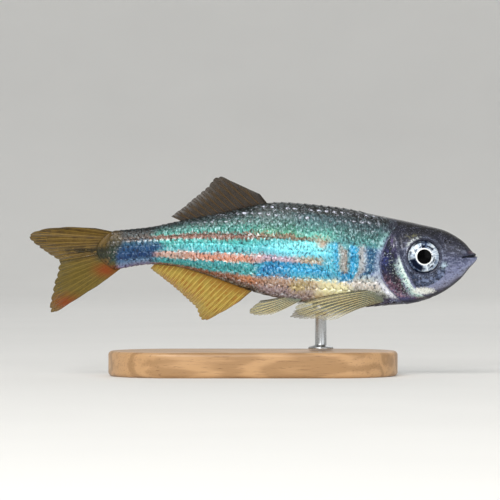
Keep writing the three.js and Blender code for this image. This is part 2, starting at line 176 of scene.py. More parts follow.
def full_turn(steps):
    """Angles evenly round a circle."""
    return np.arange(steps) * 2 * math.pi / steps


back = smooth_through(BACK)
belly = smooth_through(BELLY)
half_width = smooth_through(HALF_WIDTH)
widest_level = smooth_through(WIDEST_LEVEL)


# The body as a surface of two parameters

def body(s, turn):
    """The bare body: at each s a ring, round at its widest level and meeting the back and belly lines, that
    turn runs round from -90 degrees at the belly over 0 at the left flank and 90 at the back. Behind the
    last bone it thins to a leaf over the roots of the tail fin, and reaches furthest back along its
    middle."""
    lap = np.clip(s - STANDARD_LENGTH, 0, 6)
    level = widest_level(s)
    across_, up = np.cos(turn), np.sin(turn)
    reach = np.where(up > 0, back(s) - level, level - belly(s))
    power = np.where(up > 0, BACK_POWER, BELLY_POWER)
    wide = half_width(s) * (1 - 0.96 * rise(lap, 0, TAIL_LAP))
    side = np.sign(across_) * np.abs(across_) ** power * wide
    return place(s - 0.8 * lap * up**2, level + reach * up * (1 - 0.012 * lap), side)


def outward(s, turn, step=0.04):
    """The body's outward normal, from differences a little way along and round."""
    along = body(s + step, turn) - body(np.maximum(s - step, 1e-4), turn)
    round_ = body(s, turn + step) - body(s, turn - step)
    return unit(np.cross(along, round_))


def flank_at(s, h):
    """Half the body's width at a station and a height."""
    level = widest_level(s)
    reach = np.where(h > level, back(s) - level, level - belly(s))
    sine = np.clip(np.abs(h - level) / reach, 0, 1)
    return half_width(s) * np.sqrt(1 - sine**2) ** np.where(h > level, BACK_POWER, BELLY_POWER)


def stripe_place(s, h):
    """A height across the flank in stripes: whole numbers lie on the lines of STRIPE_LINES, counted from
    the back."""
    share = (back(s) - h) / (back(s) - belly(s))
    lines = [np.interp(s, *np.array(line).T) for line in STRIPE_LINES]
    return sum(np.clip((share - low) / (high - low), 0, 1) for low, high in zip(lines, lines[1:]))


# Meshes

def mesh_piece(name, points, faces, **fields):
    """A smooth mesh object from points in millimetres and lists of faces, with a field of vectors stored at
    its points for each further name."""
    mesh = bpy.data.meshes.new(name)
    points = np.asarray(points).reshape(-1, 3) * MM
    mesh.from_pydata(points.tolist(), [], [face for part in faces for face in part.tolist()])
    for field, values in fields.items():
        values = np.asarray(values, np.float32).ravel()
        mesh.attributes.new(field, "FLOAT_VECTOR", "POINT").data.foreach_set("vector", values)
    mesh.shade_smooth()
    piece = bpy.data.objects.new(name, mesh)
    bpy.context.scene.collection.objects.link(piece)
    return piece


def grid_faces(rows, columns, start=0, wrap=False, flip=False):
    """The four-cornered faces of a grid of points stored row after row. wrap joins the last column to the
    first."""
    i, j = np.meshgrid(np.arange(rows - 1), np.arange(columns if wrap else columns - 1), indexing="ij")
    near, far = i * columns + j, i * columns + (j + 1) % columns
    quads = np.stack([near, near + columns, far + columns, far], -1).reshape(-1, 4) + start
    return quads[:, ::-1] if flip else quads


def fan(centre, ring, flip=False):
    """Triangles from one point to a closed ring of points."""
    tris = np.stack([np.full(len(ring), centre), ring, np.roll(ring, -1)], -1)
    return tris[:, ::-1] if flip else tris


def barrel_faces(rings, around, flip=False):
    """A closed barrel: rings of points stored one after another, and behind them a point for each end."""
    ring = np.arange(around)
    return [
        grid_faces(rings, around, wrap=True, flip=flip),
        fan(rings * around, ring, flip=flip),
        fan(rings * around + 1, (rings - 1) * around + ring, flip=not flip),
    ]


def slab_faces(rows, columns):
    """A closed slab: a grid of points, the same grid again for its other face, and a rim of faces round the
    edge."""
    count = rows * columns
    rim = np.concatenate([
        np.arange(columns - 1), np.arange(columns - 1, count - 1, columns),
        np.arange(count - 1, count - columns, -1), np.arange(count - columns, 0, -columns),
    ])
    ahead = np.roll(rim, -1)
    edge = np.stack([rim, ahead, ahead + count, rim + count], -1)
    return [grid_faces(rows, columns), grid_faces(rows, columns, start=count, flip=True), edge]


def dress(piece, slot, material, *nodes):
    """The piece takes a material, rides with the body, and stands for the CAD nodes named."""
    piece.data.materials.append(material)
    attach(piece, "root")
    if nodes:
        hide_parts(*nodes)


# The skin

HEAD_END = 21.0
HEAD_STEP = 0.104
RINGS_AROUND = 230
FAR = 9.0


def eye_axes(side):
    """An eye's middle, and its axes forward, up and out."""
    yaw, pitch = EYE["yaw"], EYE["pitch"]
    out = np.array([
        math.sin(yaw) * math.cos(pitch), side * math.cos(yaw) * math.cos(pitch), math.sin(pitch),
    ])
    forward = np.array([math.cos(yaw), -side * math.sin(yaw), 0.0])
    up = np.cross(forward, out) * side
    return place(EYE["s"], EYE["h"], side * EYE["side"]), forward, up, out


def carve_orbit(points, side):
    """Sinks the skin behind the eyeball and lifts a rounded rim over its edge: the height along the eye's
    axis goes from the flank's own to the rim's as the distance from that axis falls, and drops away inside
    the rim."""
    middle, forward, up, out = eye_axes(side)
    away = points - middle
    distance = np.hypot(away @ forward, away @ up)
    height = away @ out
    near = (height > -2.0) & (distance < 5.2)
    crest = 0.6 + 0.1 * hump(distance, 3.45, 0.2)
    level = height + (crest - height) * rise(distance, 4.9, 3.55)
    level = level + (-1.5 - level) * rise(distance, 3.3, 3.02)
    move = np.where(near, level - height, 0.0)
    return points + move[..., None] * out, np.where(near, distance, FAR)


def head_relief(s, h):
    """How far the head's skin stands out at points seen from the side, with what its colours need: the
    distance over the mouth line, a mask of hollows for painted shade and one of seams, and distances behind
    the gill cover's and cheek's edges.

    Each feature is a bell curve or a step over the distance from its edge: the gill cover's raised rear
    edge, the ridge along the cheek, the seams of the cheek's plates, folds of the throat, lips each side of
    the mouth line, and two nostrils."""
    def creases(lines, spread):
        return np.maximum.reduce([hump(across(line, s, h), 0, spread) for line in lines])

    behind_gill = across(GILL_OPENING, s, h)
    lid = rise(h, 6.4, 4.6) * rise(h, -10.4, -9.0)
    step = 0.17 * rise(behind_gill, 0.06, -0.1) * np.exp(np.minimum(behind_gill, 0) / 2.4)
    gutter = -0.2 * hump(behind_gill, 0.2, 0.17) * rise(h, -8.8, -7.4)
    relief = lid * (step + gutter)

    behind_cheek = across(PREOPERCLE, s, h)
    ridge = 0.22 * hump(behind_cheek, 0.1, 0.45) - 0.12 * hump(behind_cheek, 1.25, 0.2)
    ridge = ridge - 0.1 * hump(behind_cheek, -0.65, 0.2)
    relief = relief + rise(h, 4.4, 3.2) * rise(h, -8.8, -7.6) * ridge

    below_seam = across(SUBOPERCLE, s, h)
    relief = relief - 0.1 * hump(below_seam, 0, 0.13) * rise(behind_gill, 0, -0.3) * rise(s, 13.2, 14.6)
    within_cheek = across(CHEEK_MARGIN, s, h)
    plates = rise(within_cheek, -0.12, 0.1) * rise(within_cheek, 3.2, 2.4)
    relief = relief + 0.1 * plates * rise(s, 14.6, 14.0)
    seams = creases(CHEEK_SEAMS, 0.13)
    relief = relief - 0.07 * seams - 0.04 * creases(THROAT_FOLDS, 0.14)

    over_mouth = across(MOUTH_LINE, s, h)
    open_ = rise(s, 3.5, 2.7)
    depth = 0.34 * open_ + 0.06 * rise(s, 5.2, 4.0) * (1 - open_)
    mouth = hump(over_mouth, 0, 0.15 + 0.12 * rise(s, 2.6, 0.8))
    lips = hump(np.abs(over_mouth), 0.42, 0.24) * rise(s, 3.6, 2.4)
    relief = relief - depth * mouth + 0.12 * lips * rise(s, 0.1, 0.6)
    pits = np.zeros_like(s)
    for pit_s, pit_h in NOSTRILS:
        gap = np.hypot(s - pit_s, h - pit_h)
        relief = relief - 0.3 * rise(gap, 0.3, 0.12) + 0.07 * hump(gap, 0.42, 0.13)
        pits = np.maximum(pits, 0.8 * rise(gap, 0.3, 0.12))

    # The hollow mask marks where painted shade goes: the open mouth, the nostril pits and the gutter under
    # the gill cover's edge.
    hollow = np.maximum.reduce([mouth * open_, pits, lid * hump(behind_gill, 0.16, 0.12)])
    seam = np.maximum(seams, 0.7 * hump(below_seam, 0, 0.22) * rise(s, 20.5, 19.0))
    return relief, over_mouth, hollow, seam, np.stack([behind_gill, behind_cheek, within_cheek], -1)


def make_skin(material):
    """One skin from snout to tail. Rings of the body, close together on the head, are pushed out and in by
    the head's relief, carved round the eyes, and closed by a fan at each end."""
    s = np.concatenate([
        0.16 * (np.arange(1, 6) / 5) ** 1.6,
        np.arange(0.26, HEAD_END, HEAD_STEP),
        np.linspace(HEAD_END + 0.2, STANDARD_LENGTH + TAIL_LAP, 172),
    ])
    s, turn = np.meshgrid(s, full_turn(RINGS_AROUND) - math.pi / 2, indexing="ij")
    points = body(s, turn)
    h = points[..., 2] - AXIS_HEIGHT
    on_head = s[:, 0] < HEAD_END + 1
    head_s = s[on_head]
    relief, over_mouth, hollow, seam, edges = head_relief(head_s, h[on_head])

    def along_body(values, behind=0.0):
        full = np.full(s.shape + values.shape[2:], behind)
        full[on_head] = values
        return full

    points = points + along_body(relief)[..., None] * outward(s, turn)
    upper_lip = 0.4 * rise(over_mouth, 0.3, 0.75) * rise(head_s, 2.6, 0.4)
    edge_of_lip = 0.05 * rise(over_mouth, -0.08, 0.1) * rise(head_s, 2.0, 0.3)
    points[..., 0] -= along_body(upper_lip + edge_of_lip)
    orbit = np.full_like(s, FAR)
    for side in (-1, 1):
        points, distance = carve_orbit(points, side)
        orbit = np.minimum(orbit, distance)
    fields = {
        "lie": np.stack([s, stripe_place(s, h), turn], -1),
        "edges": along_body(edges, FAR),
        "trim": np.stack([along_body(hollow), along_body(seam), orbit], -1),
    }
    for name, values in fields.items():
        values = values.reshape(-1, 3)
        fields[name] = np.concatenate([values, values[:1], values[-1:]])
    ends = np.array([place(0.0, BACK[0][1]), points[-1].mean(0)])
    skin = mesh_piece("skin", np.concatenate([points.reshape(-1, 3), ends]), barrel_faces(*s.shape), **fields)
    nodes = ["head", "lower_jaw", "gill_cover_right", "gill_cover_left", "torso", "tail_stalk"]
    dress(skin, "scaled_skin", material, *nodes)


# The scales

SCALE_GRID = 6
SCALE_ROWS = 9
COLUMN_STEP = 0.82
SCALE_REACH = 1.62
SCALE_LIFT = {"root": -0.09, "edge": 0.075, "dome": 0.03, "thick": 0.045}
UV_PATCH = 0.003


def scale_pitch(s):
    """The distance between rows of scales: smaller towards the tail."""
    return np.interp(s, [16, 44, 73], [1.9, 1.9, 1.22])


def arc_table(side):
    """Turn as a function of s and of the distance round the ring from the flank's widest level."""
    stations = np.linspace(10, STANDARD_LENGTH + 5, 140)
    swing = np.linspace(-2.6, 2.6, 521)
    turn = swing if side > 0 else math.pi - swing
    ring = body(stations[:, None], turn[None, :])
    steps = np.linalg.norm(np.diff(ring, axis=1), axis=-1)
    arc = np.concatenate([np.zeros((len(stations), 1)), np.cumsum(steps, 1)], 1)
    arc = arc - arc[:, [len(swing) // 2]]
    distances = np.linspace(-20, 20, 401)
    turns = np.array([np.interp(distances, a, turn) for a in arc])
    top = np.array([np.interp(math.pi / 2, swing, a) for a in arc])
    low = np.array([np.interp(-math.pi / 2, swing, a) for a in arc])

    def read(s, distance):
        i = np.clip((s - stations[0]) / (stations[1] - stations[0]), 0, len(stations) - 1.001)
        j = np.clip((distance - distances[0]) / (distances[1] - distances[0]), 0, len(distances) - 1.001)
        i0, j0 = i.astype(int), j.astype(int)
        a, b = i - i0, j - j0
        near = turns[i0, j0] * (1 - a) + turns[i0 + 1, j0] * a
        far = turns[i0, j0 + 1] * (1 - a) + turns[i0 + 1, j0 + 1] * a
        return near * (1 - b) + far * b

    return read, lambda s: np.interp(s, stations, top), lambda s: np.interp(s, stations, low)


def scale_roots(read, top, low):
    """Where each scale is rooted: columns a little closer than the rows, every other row set back by half a
    step, kept where they lie behind the gill opening and between the back and the belly."""
    columns = [12.0]
    while columns[-1] < STANDARD_LENGTH + 1.6:
        columns.append(columns[-1] + COLUMN_STEP * float(scale_pitch(columns[-1])))
    s, row = np.meshgrid(np.array(columns), np.arange(-SCALE_ROWS, SCALE_ROWS + 1), indexing="ij")
    s = s + np.where(row % 2 == 0, 0.0, COLUMN_STEP / 2 * scale_pitch(s))
    s = s + RANDOM.normal(0, 0.035, s.shape)
    distance = row * scale_pitch(s) + RANDOM.normal(0, 0.03, s.shape)
    h = body(s, read(s, distance))[..., 2] - AXIS_HEIGHT
    ragged = RANDOM.random(s.shape)
    fits = (distance < top(s) + 0.25) & (distance > low(s) - 0.25) & (s > 13.5 + ragged)
    fits &= across(GILL_OPENING, s, h) > -0.25 + 0.8 * ragged * (h > 3.5)
    fits &= s < STANDARD_LENGTH + 0.2 + 1.8 * ragged
    return s[fits][:, None, None], distance[fits][:, None, None]


def make_scales(name, side, material):
    """Overlapping scales, each a small closed plate. q runs from its root to its free edge and p across it:
    it is q long, narrows by q to the fourth, its edge falls back by p squared, and it rises from under the
    skin to its free edge, so that each covers the next one's root. In the bake each has a small patch of
    its own."""
    read, top, low = arc_table(side)
    root_s, root_distance = scale_roots(read, top, low)
    count = len(root_s)
    pitch = scale_pitch(root_s)
    q, p = np.meshgrid(np.linspace(0, 1, SCALE_GRID), np.linspace(-1, 1, SCALE_GRID), indexing="ij")
    length = SCALE_REACH * COLUMN_STEP * pitch * (1 + RANDOM.normal(0, 0.03, (count, 1, 1)))
    s = root_s + length * q * (1 - 0.2 * p**2 * q)
    turn = read(s, root_distance + 0.60 * pitch * p * (1 - 0.42 * q**4))
    points, normal = body(s, turn), outward(s, turn)
    tilt = RANDOM.normal(0, 0.014, (count, 1, 1)) * p
    dome = SCALE_LIFT["dome"] * (1 - p**2)
    upper = SCALE_LIFT["root"] + (SCALE_LIFT["edge"] - SCALE_LIFT["root"]) * q + dome + tilt
    inner = (1 - np.abs(p) ** 8) * (1 - np.abs(2 * q - 1) ** 8)
    lower = upper - SCALE_LIFT["thick"] * inner - 0.004
    both = np.stack([points + upper[..., None] * normal, points + lower[..., None] * normal], 1)
    faces = np.concatenate(slab_faces(SCALE_GRID, SCALE_GRID))
    if side < 0:
        faces = faces[:, ::-1]
    faces = (faces[None] + (np.arange(count) * 2 * SCALE_GRID**2)[:, None, None]).reshape(-1, 4)
    h = points[..., 2] - AXIS_HEIGHT
    tone = RANDOM.random((count, 1, 1))

    def doubled(*parts):
        one = np.stack([part + np.zeros_like(s) for part in parts], -1)
        return np.repeat(one[:, None], 2, axis=1).reshape(-1, len(parts))

    piece = mesh_piece(
        name, both, [faces], lie=doubled(s, stripe_place(s, h), turn),
        edges=doubled(across(GILL_OPENING, s, h), FAR, FAR), plate=doubled(q, p, tone),
    )
    round_ = (read(root_s, root_distance) + math.pi / 2) % (2 * math.pi) / (2 * math.pi)
    uv = doubled(root_s / 80 + UV_PATCH * (q - 0.5), 0.02 + 0.96 * round_ + UV_PATCH * 0.5 * p)
    corners = np.empty(len(piece.data.loops), np.int32)
    piece.data.loops.foreach_get("vertex_index", corners)
    layer = piece.data.uv_layers.new(name="OFBake")
    layer.data.foreach_set("uv", uv[corners].astype(np.float32).ravel())
    dress(piece, "scaled_skin", material)


# The fins

RAY_STEPS = 14
OUT_STEPS = 60
NOTCH = 0.03

# Free edges as (u, s, h, side) points, over u from the front ray to the last
DORSAL_EDGE = [
    (0, 43.6, 12.4, 0), (0.09, 48.2, 14.5, -0.5), (0.18, 51.6, 16.0, -0.5), (0.4, 54.2, 13.8, -0.5),
    (0.7, 57.4, 11.1, -0.5), (1, 61.4, 7.9, -0.5),
]
ANAL_EDGE = [
    (0, 47.8, -9.2, 0), (0.06, 51.0, -11.2, 0.45), (0.12, 54.7, -13.0, 0.45), (0.3, 56.5, -10.4, 0.45),
    (0.6, 60.2, -6.8, 0.45), (1, 65.6, -2.5, 0.45),
]
TAIL_UPPER_EDGE = [
    (0, 76.6, 5.6, 0), (0.12, 82.6, 5.8, 0), (0.24, 88.0, 5.2, 0.9), (0.36, 89.88, 3.9, 0.9),
    (0.55, 88.2, 2.0, 0.9), (0.75, 86.3, 0.7, 0.6), (1, 83.8, -1.15, 0.3),
]
TAIL_LOWER_EDGE = [
    (0, 83.8, -1.05, 0.34), (0.25, 84.6, -4.4, 0.5), (0.45, 85.3, -7.4, 0.9), (0.64, 85.8, -10.6, 0.9),
    (0.76, 85.0, -11.4, 0.9), (0.88, 81.0, -9.0, 0.4), (1, 76.4, -6.1, 0),
]
PECTORAL_EDGES = {
    "right": [
        (0, 36.2, -9.3, 5.2), (0.2, 36.6, -11.2, 5.6), (0.45, 33.6, -12.4, 5.6), (0.75, 29.4, -12.8, 5.0),
        (1, 26.2, -11.4, 4.0),
    ],
    "left": [
        (0, 36.9, -11.2, 5.4), (0.2, 37.4, -12.4, 5.6), (0.45, 34.6, -12.8, 5.4), (0.75, 30.6, -12.6, 5.0),
        (1, 26.8, -11.8, 4.2),
    ],
}
PELVIC_EDGE = [(0, 43.6, -9.0, 2.0), (0.35, 45.8, -11.1, 3.0), (0.6, 44.6, -11.8, 3.5), (1, 41.4, -11.7, 3.7)]


def margin(points, side=1):
    """A fin's free edge: a smooth curve through its points. side is -1 for a right fin, towards -Y."""
    u, *measures = np.array(points, float).T * np.array([[1], [1], [1], [side]])
    return lambda x: place(*cubic(u, np.array(measures).T, x).T)


def fin_sheet(name, node, rays, root, tip, bow, material, stout=1.0, split=0.4):
    """A fin as one closed sheet. Each ray is a ridge on both faces at a whole number of ray steps, which
    splits in two and then in four on its way out. Between rays the web is thin and falls short of the edge
    by a rounded notch. The sheet bows by bow times its length, and swells to the body's side at its
    root."""
    u = np.linspace(0, 1, (rays - 1) * RAY_STEPS + 1)
    v = np.linspace(0, 1, OUT_STEPS)[None] ** 0.92
    number = u * (rays - 1)
    off_ray = (number - np.round(number))[:, None]
    first = np.round(number)[:, None] < 1
    wander = RANDOM.normal(0, 0.010, rays)
    reach = 1 - NOTCH * np.abs(2 * off_ray[:, 0]) ** 1.6 + np.interp(number, np.arange(rays), wander)
    start, end = root(u)[:, None], tip(u)[:, None]
    along = (v * np.minimum(reach, 1.0)[:, None])[..., None]
    points = start + (end - start) * along
    span = np.linalg.norm(end - start, axis=-1, keepdims=True)
    points[..., 2:] += bow * span * along * (1 - along)
    normal = unit(np.cross(np.gradient(points, axis=0), np.gradient(points, axis=1)))
    fork = 0.23 * rise(v, split, 1.1) * ~first
    twig = 0.11 * rise(v, split + 0.25, 1.1) * ~first
    width = (0.085 - 0.045 * v) * (1 + 0.9 * first)
    ray = sum(hump(off_ray, a * fork + b * twig, width) for a in (-1, 1) for b in (-1, 1))
    ray = np.clip(ray, 0, 1)
    thick = stout * (0.032 + 0.055 * ray * (1 - 0.6 * v) + 0.28 * np.exp(-v / 0.04))[..., None] * normal
    ripple = (0.035 * np.cos(2 * math.pi * off_ray) * v)[..., None] * normal
    both = np.stack([points + ripple + thick, points + ripple - thick])
    web = np.stack(np.broadcast_arrays(ray, v, number[:, None]), -1).reshape(-1, 3)
    piece = mesh_piece(name, both, slab_faces(*ray.shape), web=np.concatenate([web, web]))
    dress(piece, "fin_membrane", material, node)


def make_fins(smoky, golden, clear, tail):
    """Every fin, with its rays' roots and free edge as in the part's source. Roots are sunk into the
    body."""
    def along(line, first, run, sink):
        return lambda u: place(first + run * u, line(first + run * u) + sink)

    dorsal_root, anal_root = along(back, 41.4, 16.4, -1.0), along(belly, 44.5, 19.5, 0.8)
    fin_sheet("dorsal_fin_web", "dorsal_fin", 13, dorsal_root, margin(DORSAL_EDGE), -0.03, smoky, split=0.3)
    fin_sheet("anal_fin_web", "anal_fin", 21, anal_root, margin(ANAL_EDGE), 0.04, golden, split=0.08)
    fin_sheet(
        "tail_fin_upper_web", "caudal_fin_upper_lobe", 11, lambda u: place(71.4 + 0.6 * u, 4.5 - 3.3 * u),
        margin(TAIL_UPPER_EDGE), 0.02, tail,
    )
    fin_sheet(
        "tail_fin_lower_web", "caudal_fin_lower_lobe", 11, lambda u: place(72.0 - 0.9 * u, 1.3 - 3.5 * u),
        margin(TAIL_LOWER_EDGE), -0.02, tail,
    )
    for word, side, bow in (("right", -1, 0.12), ("left", 1, 0.06)):
        def pectoral_root(u, side=side):
            s, h = 18.7 - 0.5 * u, -6.5 - 2.5 * u
            return place(s, h, side * (flank_at(s, h) - 0.35))

        def pelvic_root(u, side=side):
            s = 37.4 - 2.4 * u
            return place(s, belly(s) + 1.05 - 0.4 * u, side * (1.35 + 0.35 * u))

        fin_sheet(
            f"pectoral_fin_{word}_web", f"pectoral_fin_{word}", 12, pectoral_root,
            margin(PECTORAL_EDGES[word], side), bow, clear, stout=0.8,
        )
        fin_sheet(
            f"pelvic_fin_{word}_web", f"pelvic_fin_{word}", 8, pelvic_root,
            margin(PELVIC_EDGE, side), -0.08, clear, stout=0.8,
        )


# The eyes

def make_eye(name, side, material, node):
    """An eye as a closed ball of revolution: flatter outwards than inwards, with a dial of distance and
    angle from its axis for the iris."""
    middle, forward, up, out = eye_axes(side)
    rings, spokes = 48, 96
    polar = np.linspace(0, math.pi, rings + 2)[1:-1, None]
    outer = polar < math.pi / 2
    spin = full_turn(spokes)[None]
    radius = EYE["radius"] * np.sin(polar)
    reach = np.where(outer, EYE["bulge"], EYE["depth"]) * np.cos(polar)
    reach = reach + EYE["cornea"] * hump(np.sin(polar), 0, 0.44) * outer + 0 * spin
    points = (
        middle + (radius * np.cos(spin))[..., None] * forward + (radius * np.sin(spin))[..., None] * up
        + reach[..., None] * out
    )
    poles = np.stack([middle + (EYE["bulge"] + EYE["cornea"]) * out, middle - EYE["depth"] * out])
    share = np.where(outer, np.sin(polar), 2 - np.sin(polar)) + 0 * spin
    dial = np.stack([share * np.cos(spin), share * np.sin(spin), share], -1).reshape(-1, 3)
    piece = mesh_piece(
        name, np.concatenate([points.reshape(-1, 3), poles]), barrel_faces(rings, spokes, flip=side > 0),
        dial=np.concatenate([dial, [[0, 0, 0], [0, 0, 2]]]),
    )
    dress(piece, "eye", material, node)


# The stand

BOARD_TURNS = 128
ROD_TURNS = 64


def make_base(material):
    """A flat board with round ends: one outline carried up a profile with rounded edges, closed by flat
    ends."""
    angle = full_turn(BOARD_TURNS)
    half_run = (BASE["length"] - BASE["width"]) / 2
    corner = BASE["bevel"]
    bend = np.linspace(0, math.pi / 2, 9)
    inset = np.concatenate([corner * (1 - np.sin(bend)), corner * (1 - np.cos(bend))])
    height = np.concatenate([corner * (1 - np.cos(bend)), BASE["height"] - corner * (1 - np.sin(bend))])
    radius = BASE["width"] / 2 - inset[:, None]
    x = radius * np.cos(angle) + half_run * np.sign(np.round(np.cos(angle), 9))
    points = np.stack([x, radius * np.sin(angle), height[:, None] + 0 * x], -1)
    ring = np.arange(BOARD_TURNS)
    faces = [
        grid_faces(len(inset), BOARD_TURNS, wrap=True, flip=True),
        ring[::-1][None],
        ((len(inset) - 1) * BOARD_TURNS + ring)[None],
    ]
    dress(mesh_piece("stand_board", points, faces), "stand_wood", material, "stand_base")


def make_rod(material):
    """The rod's outline turned about its axis: a small foot, a straight shaft, and a cup that opens to the
    belly."""
    foot, top = BASE["height"] + SEAM, AXIS_HEIGHT + float(belly(ROD["s"])) + ROD["lip"]
    cup = top - ROD["lip"] - ROD["cup_height"]
    wide, shaft, mouth = ROD["foot_radius"], ROD["radius"], ROD["cup_radius"]
    ring = np.array([
        (wide - 0.12, foot), (wide, foot + 0.12), (wide, foot + 0.38), (wide - 0.12, foot + 0.5),
        (shaft + 0.3, foot + 0.72), (shaft + 0.06, foot + 0.84), (shaft, foot + 1.1), (shaft, cup),
        (shaft + 0.12, cup + 0.25), (mouth - 0.1, cup + 0.72), (mouth, cup + 0.95), (mouth, top),
    ])
    angle = full_turn(ROD_TURNS)
    x = TOTAL_LENGTH / 2 - ROD["s"]
    points = np.stack([
        x + ring[:, :1] * np.cos(angle), ring[:, :1] * np.sin(angle), ring[:, 1:] + 0 * angle,
    ], -1).reshape(-1, 3)
    points = np.concatenate([points, [(x, 0, foot), (x, 0, top)]])
    piece = mesh_piece("stand_post", points, barrel_faces(len(ring), ROD_TURNS, flip=True))
    dress(piece, "stand_steel", material, "stand_rod")


# Laying out shader nodes

def tint(code):
    """A colour from its six-figure code, as linear light."""
    parts = np.array([int(code[i:i + 2], 16) for i in (0, 2, 4)]) / 255
    linear = np.where(parts <= 0.04045, parts / 12.92, ((parts + 0.055) / 1.055) ** 2.4)
    return (*[float(v) for v in linear], 1.0)


class Value:
    """A number, colour or vector that changes over a surface: a node's output, with plain arithmetic."""

    def __init__(self, sheet, socket):
        self.sheet, self.socket = sheet, socket

    def __add__(self, other):
        return self.sheet.math("ADD", self, other)

    def __sub__(self, other):
        return self.sheet.math("SUBTRACT", self, other)

    def __mul__(self, other):
        return self.sheet.math("MULTIPLY", self, other)

    def __truediv__(self, other):
        return self.sheet.math("DIVIDE", self, other)

    def __abs__(self):
        return self.sheet.math("ABSOLUTE", self)

    def rise(self, low, high):
        """0 below low, 1 above high, and an S-curve between them. It falls instead where high is under
        low."""
        inputs = {0: self, 1: low, 2: high}
        return self.sheet.add("ShaderNodeMapRange", inputs, interpolation_type="SMOOTHSTEP")

    def hump(self, middle, spread):
        """1 at middle, and 0 from spread outwards on both sides of it."""
        return abs(self - middle).rise(spread, 0.0)

    def scaled(self, start, end, low=0.0, high=1.0):
        """From start to end, as the value goes from low to high."""
        return self.sheet.add("ShaderNodeMapRange", {0: self, 1: low, 2: high, 3: start, 4: end})

    def parts(self):
        split = self.sheet.node("ShaderNodeSeparateXYZ", {0: self})
        return [Value(self.sheet, socket) for socket in split.outputs]


class Sheet:
    """A short way to lay out nodes in one tree. A colour is given as its six-figure code."""

    def __init__(self, tree):
        self.tree = tree

    def fill(self, node, inputs):
        """Links a value to each of the node's sockets, or sets a constant on it."""
        for key, value in inputs.items():
            if isinstance(value, Value):
                self.tree.links.new(value.socket, node.inputs[key])
            else:
                node.inputs[key].default_value = tint(value) if isinstance(value, str) else value

    def node(self, kind, inputs=None, **settings):
        made = self.tree.nodes.new(kind)
        for name, value in settings.items():
            setattr(made, name, value)
        self.fill(made, inputs or {})
        return made

    def add(self, kind, inputs=None, output=0, **settings):
        return Value(self, self.node(kind, inputs, **settings).outputs[output])

    def named_outputs(self, node):
        return {socket.name: Value(self, socket) for socket in node.outputs}

    def use(self, group, inputs):
        return self.named_outputs(self.node("ShaderNodeGroup", inputs, node_tree=group))

    def math(self, operation, a, b=0.0, c=0.0, clamp=False):
        return self.add("ShaderNodeMath", {0: a, 1: b, 2: c}, operation=operation, use_clamp=clamp)

    def largest(self, first, *others):
        for other in others:
            first = self.math("MAXIMUM", first, other)
        return first

    def mix(self, amount, a, b, blend="MIX"):
        inputs = {0: amount, 6: a, 7: b}
        return self.add("ShaderNodeMix", inputs, output=2, data_type="RGBA", blend_type=blend)

    def glaze(self, colour, *layers):
        """Lays further colours over a colour in turn, each as strong as the amount beside it."""
        for over, amount in layers:
            colour = self.mix(amount, colour, over)
        return colour

    def ramp(self, x, stops, low, high):
        """The colours of (place, colour) stops, as x goes from low to high."""
        made = self.node("ShaderNodeValToRGB", {0: (x - low) / (high - low)})
        ends = made.color_ramp.elements
        while len(ends) < len(stops):
            ends.new(0.5)
        for end, (at, _) in zip(ends, stops):
            end.position = (at - low) / (high - low)
        for end, (_, code) in zip(ends, stops):
            end.color = tint(code)
        return Value(self, made.outputs[0])

    def noise(self, vector, scale, detail=2.0, roughness=0.5, stretch=None):
        if stretch:
            vector = self.add("ShaderNodeMapping", {"Vector": vector, "Scale": stretch})
        inputs = {"Vector": vector, "Scale": scale, "Detail": detail, "Roughness": roughness}
        return self.add("ShaderNodeTexNoise", inputs)

    def field(self, name):
        return self.add("ShaderNodeAttribute", output="Vector", attribute_name=name)

    def place_mm(self):
        """The place on the piece, in millimetres."""
        spot = self.add("ShaderNodeTexCoord", output="Object")
        return self.add("ShaderNodeVectorMath", {0: spot, 3: 1 / MM}, operation="SCALE")


def shader_group(name, inputs, outputs):
    """A node group with named sockets. Returns it with its sheet, the values it is given and its output
    node."""
    group = bpy.data.node_groups.new(name, "ShaderNodeTree")
    for way, sockets in (("INPUT", inputs), ("OUTPUT", outputs)):
        for label, kind in sockets.items():
            group.interface.new_socket(label, in_out=way, socket_type=f"NodeSocket{kind}")
    sheet = Sheet(group)
    return group, sheet, sheet.named_outputs(sheet.node("NodeGroupInput")), sheet.node("NodeGroupOutput")


def new_material(name):
    material = bpy.data.materials.new(name)
    material.use_nodes = True
    return material, Sheet(material.node_tree)


def finish(sheet, relief, strength, depth, settings):
    """Feeds the material's shader: a bump from relief, its depth in metres, and every other socket by its
    name."""
    bump = sheet.add("ShaderNodeBump", {"Strength": strength, "Distance": depth, "Height": relief})
    sheet.fill(sheet.tree.nodes["Principled BSDF"], {**settings, "Normal": bump})
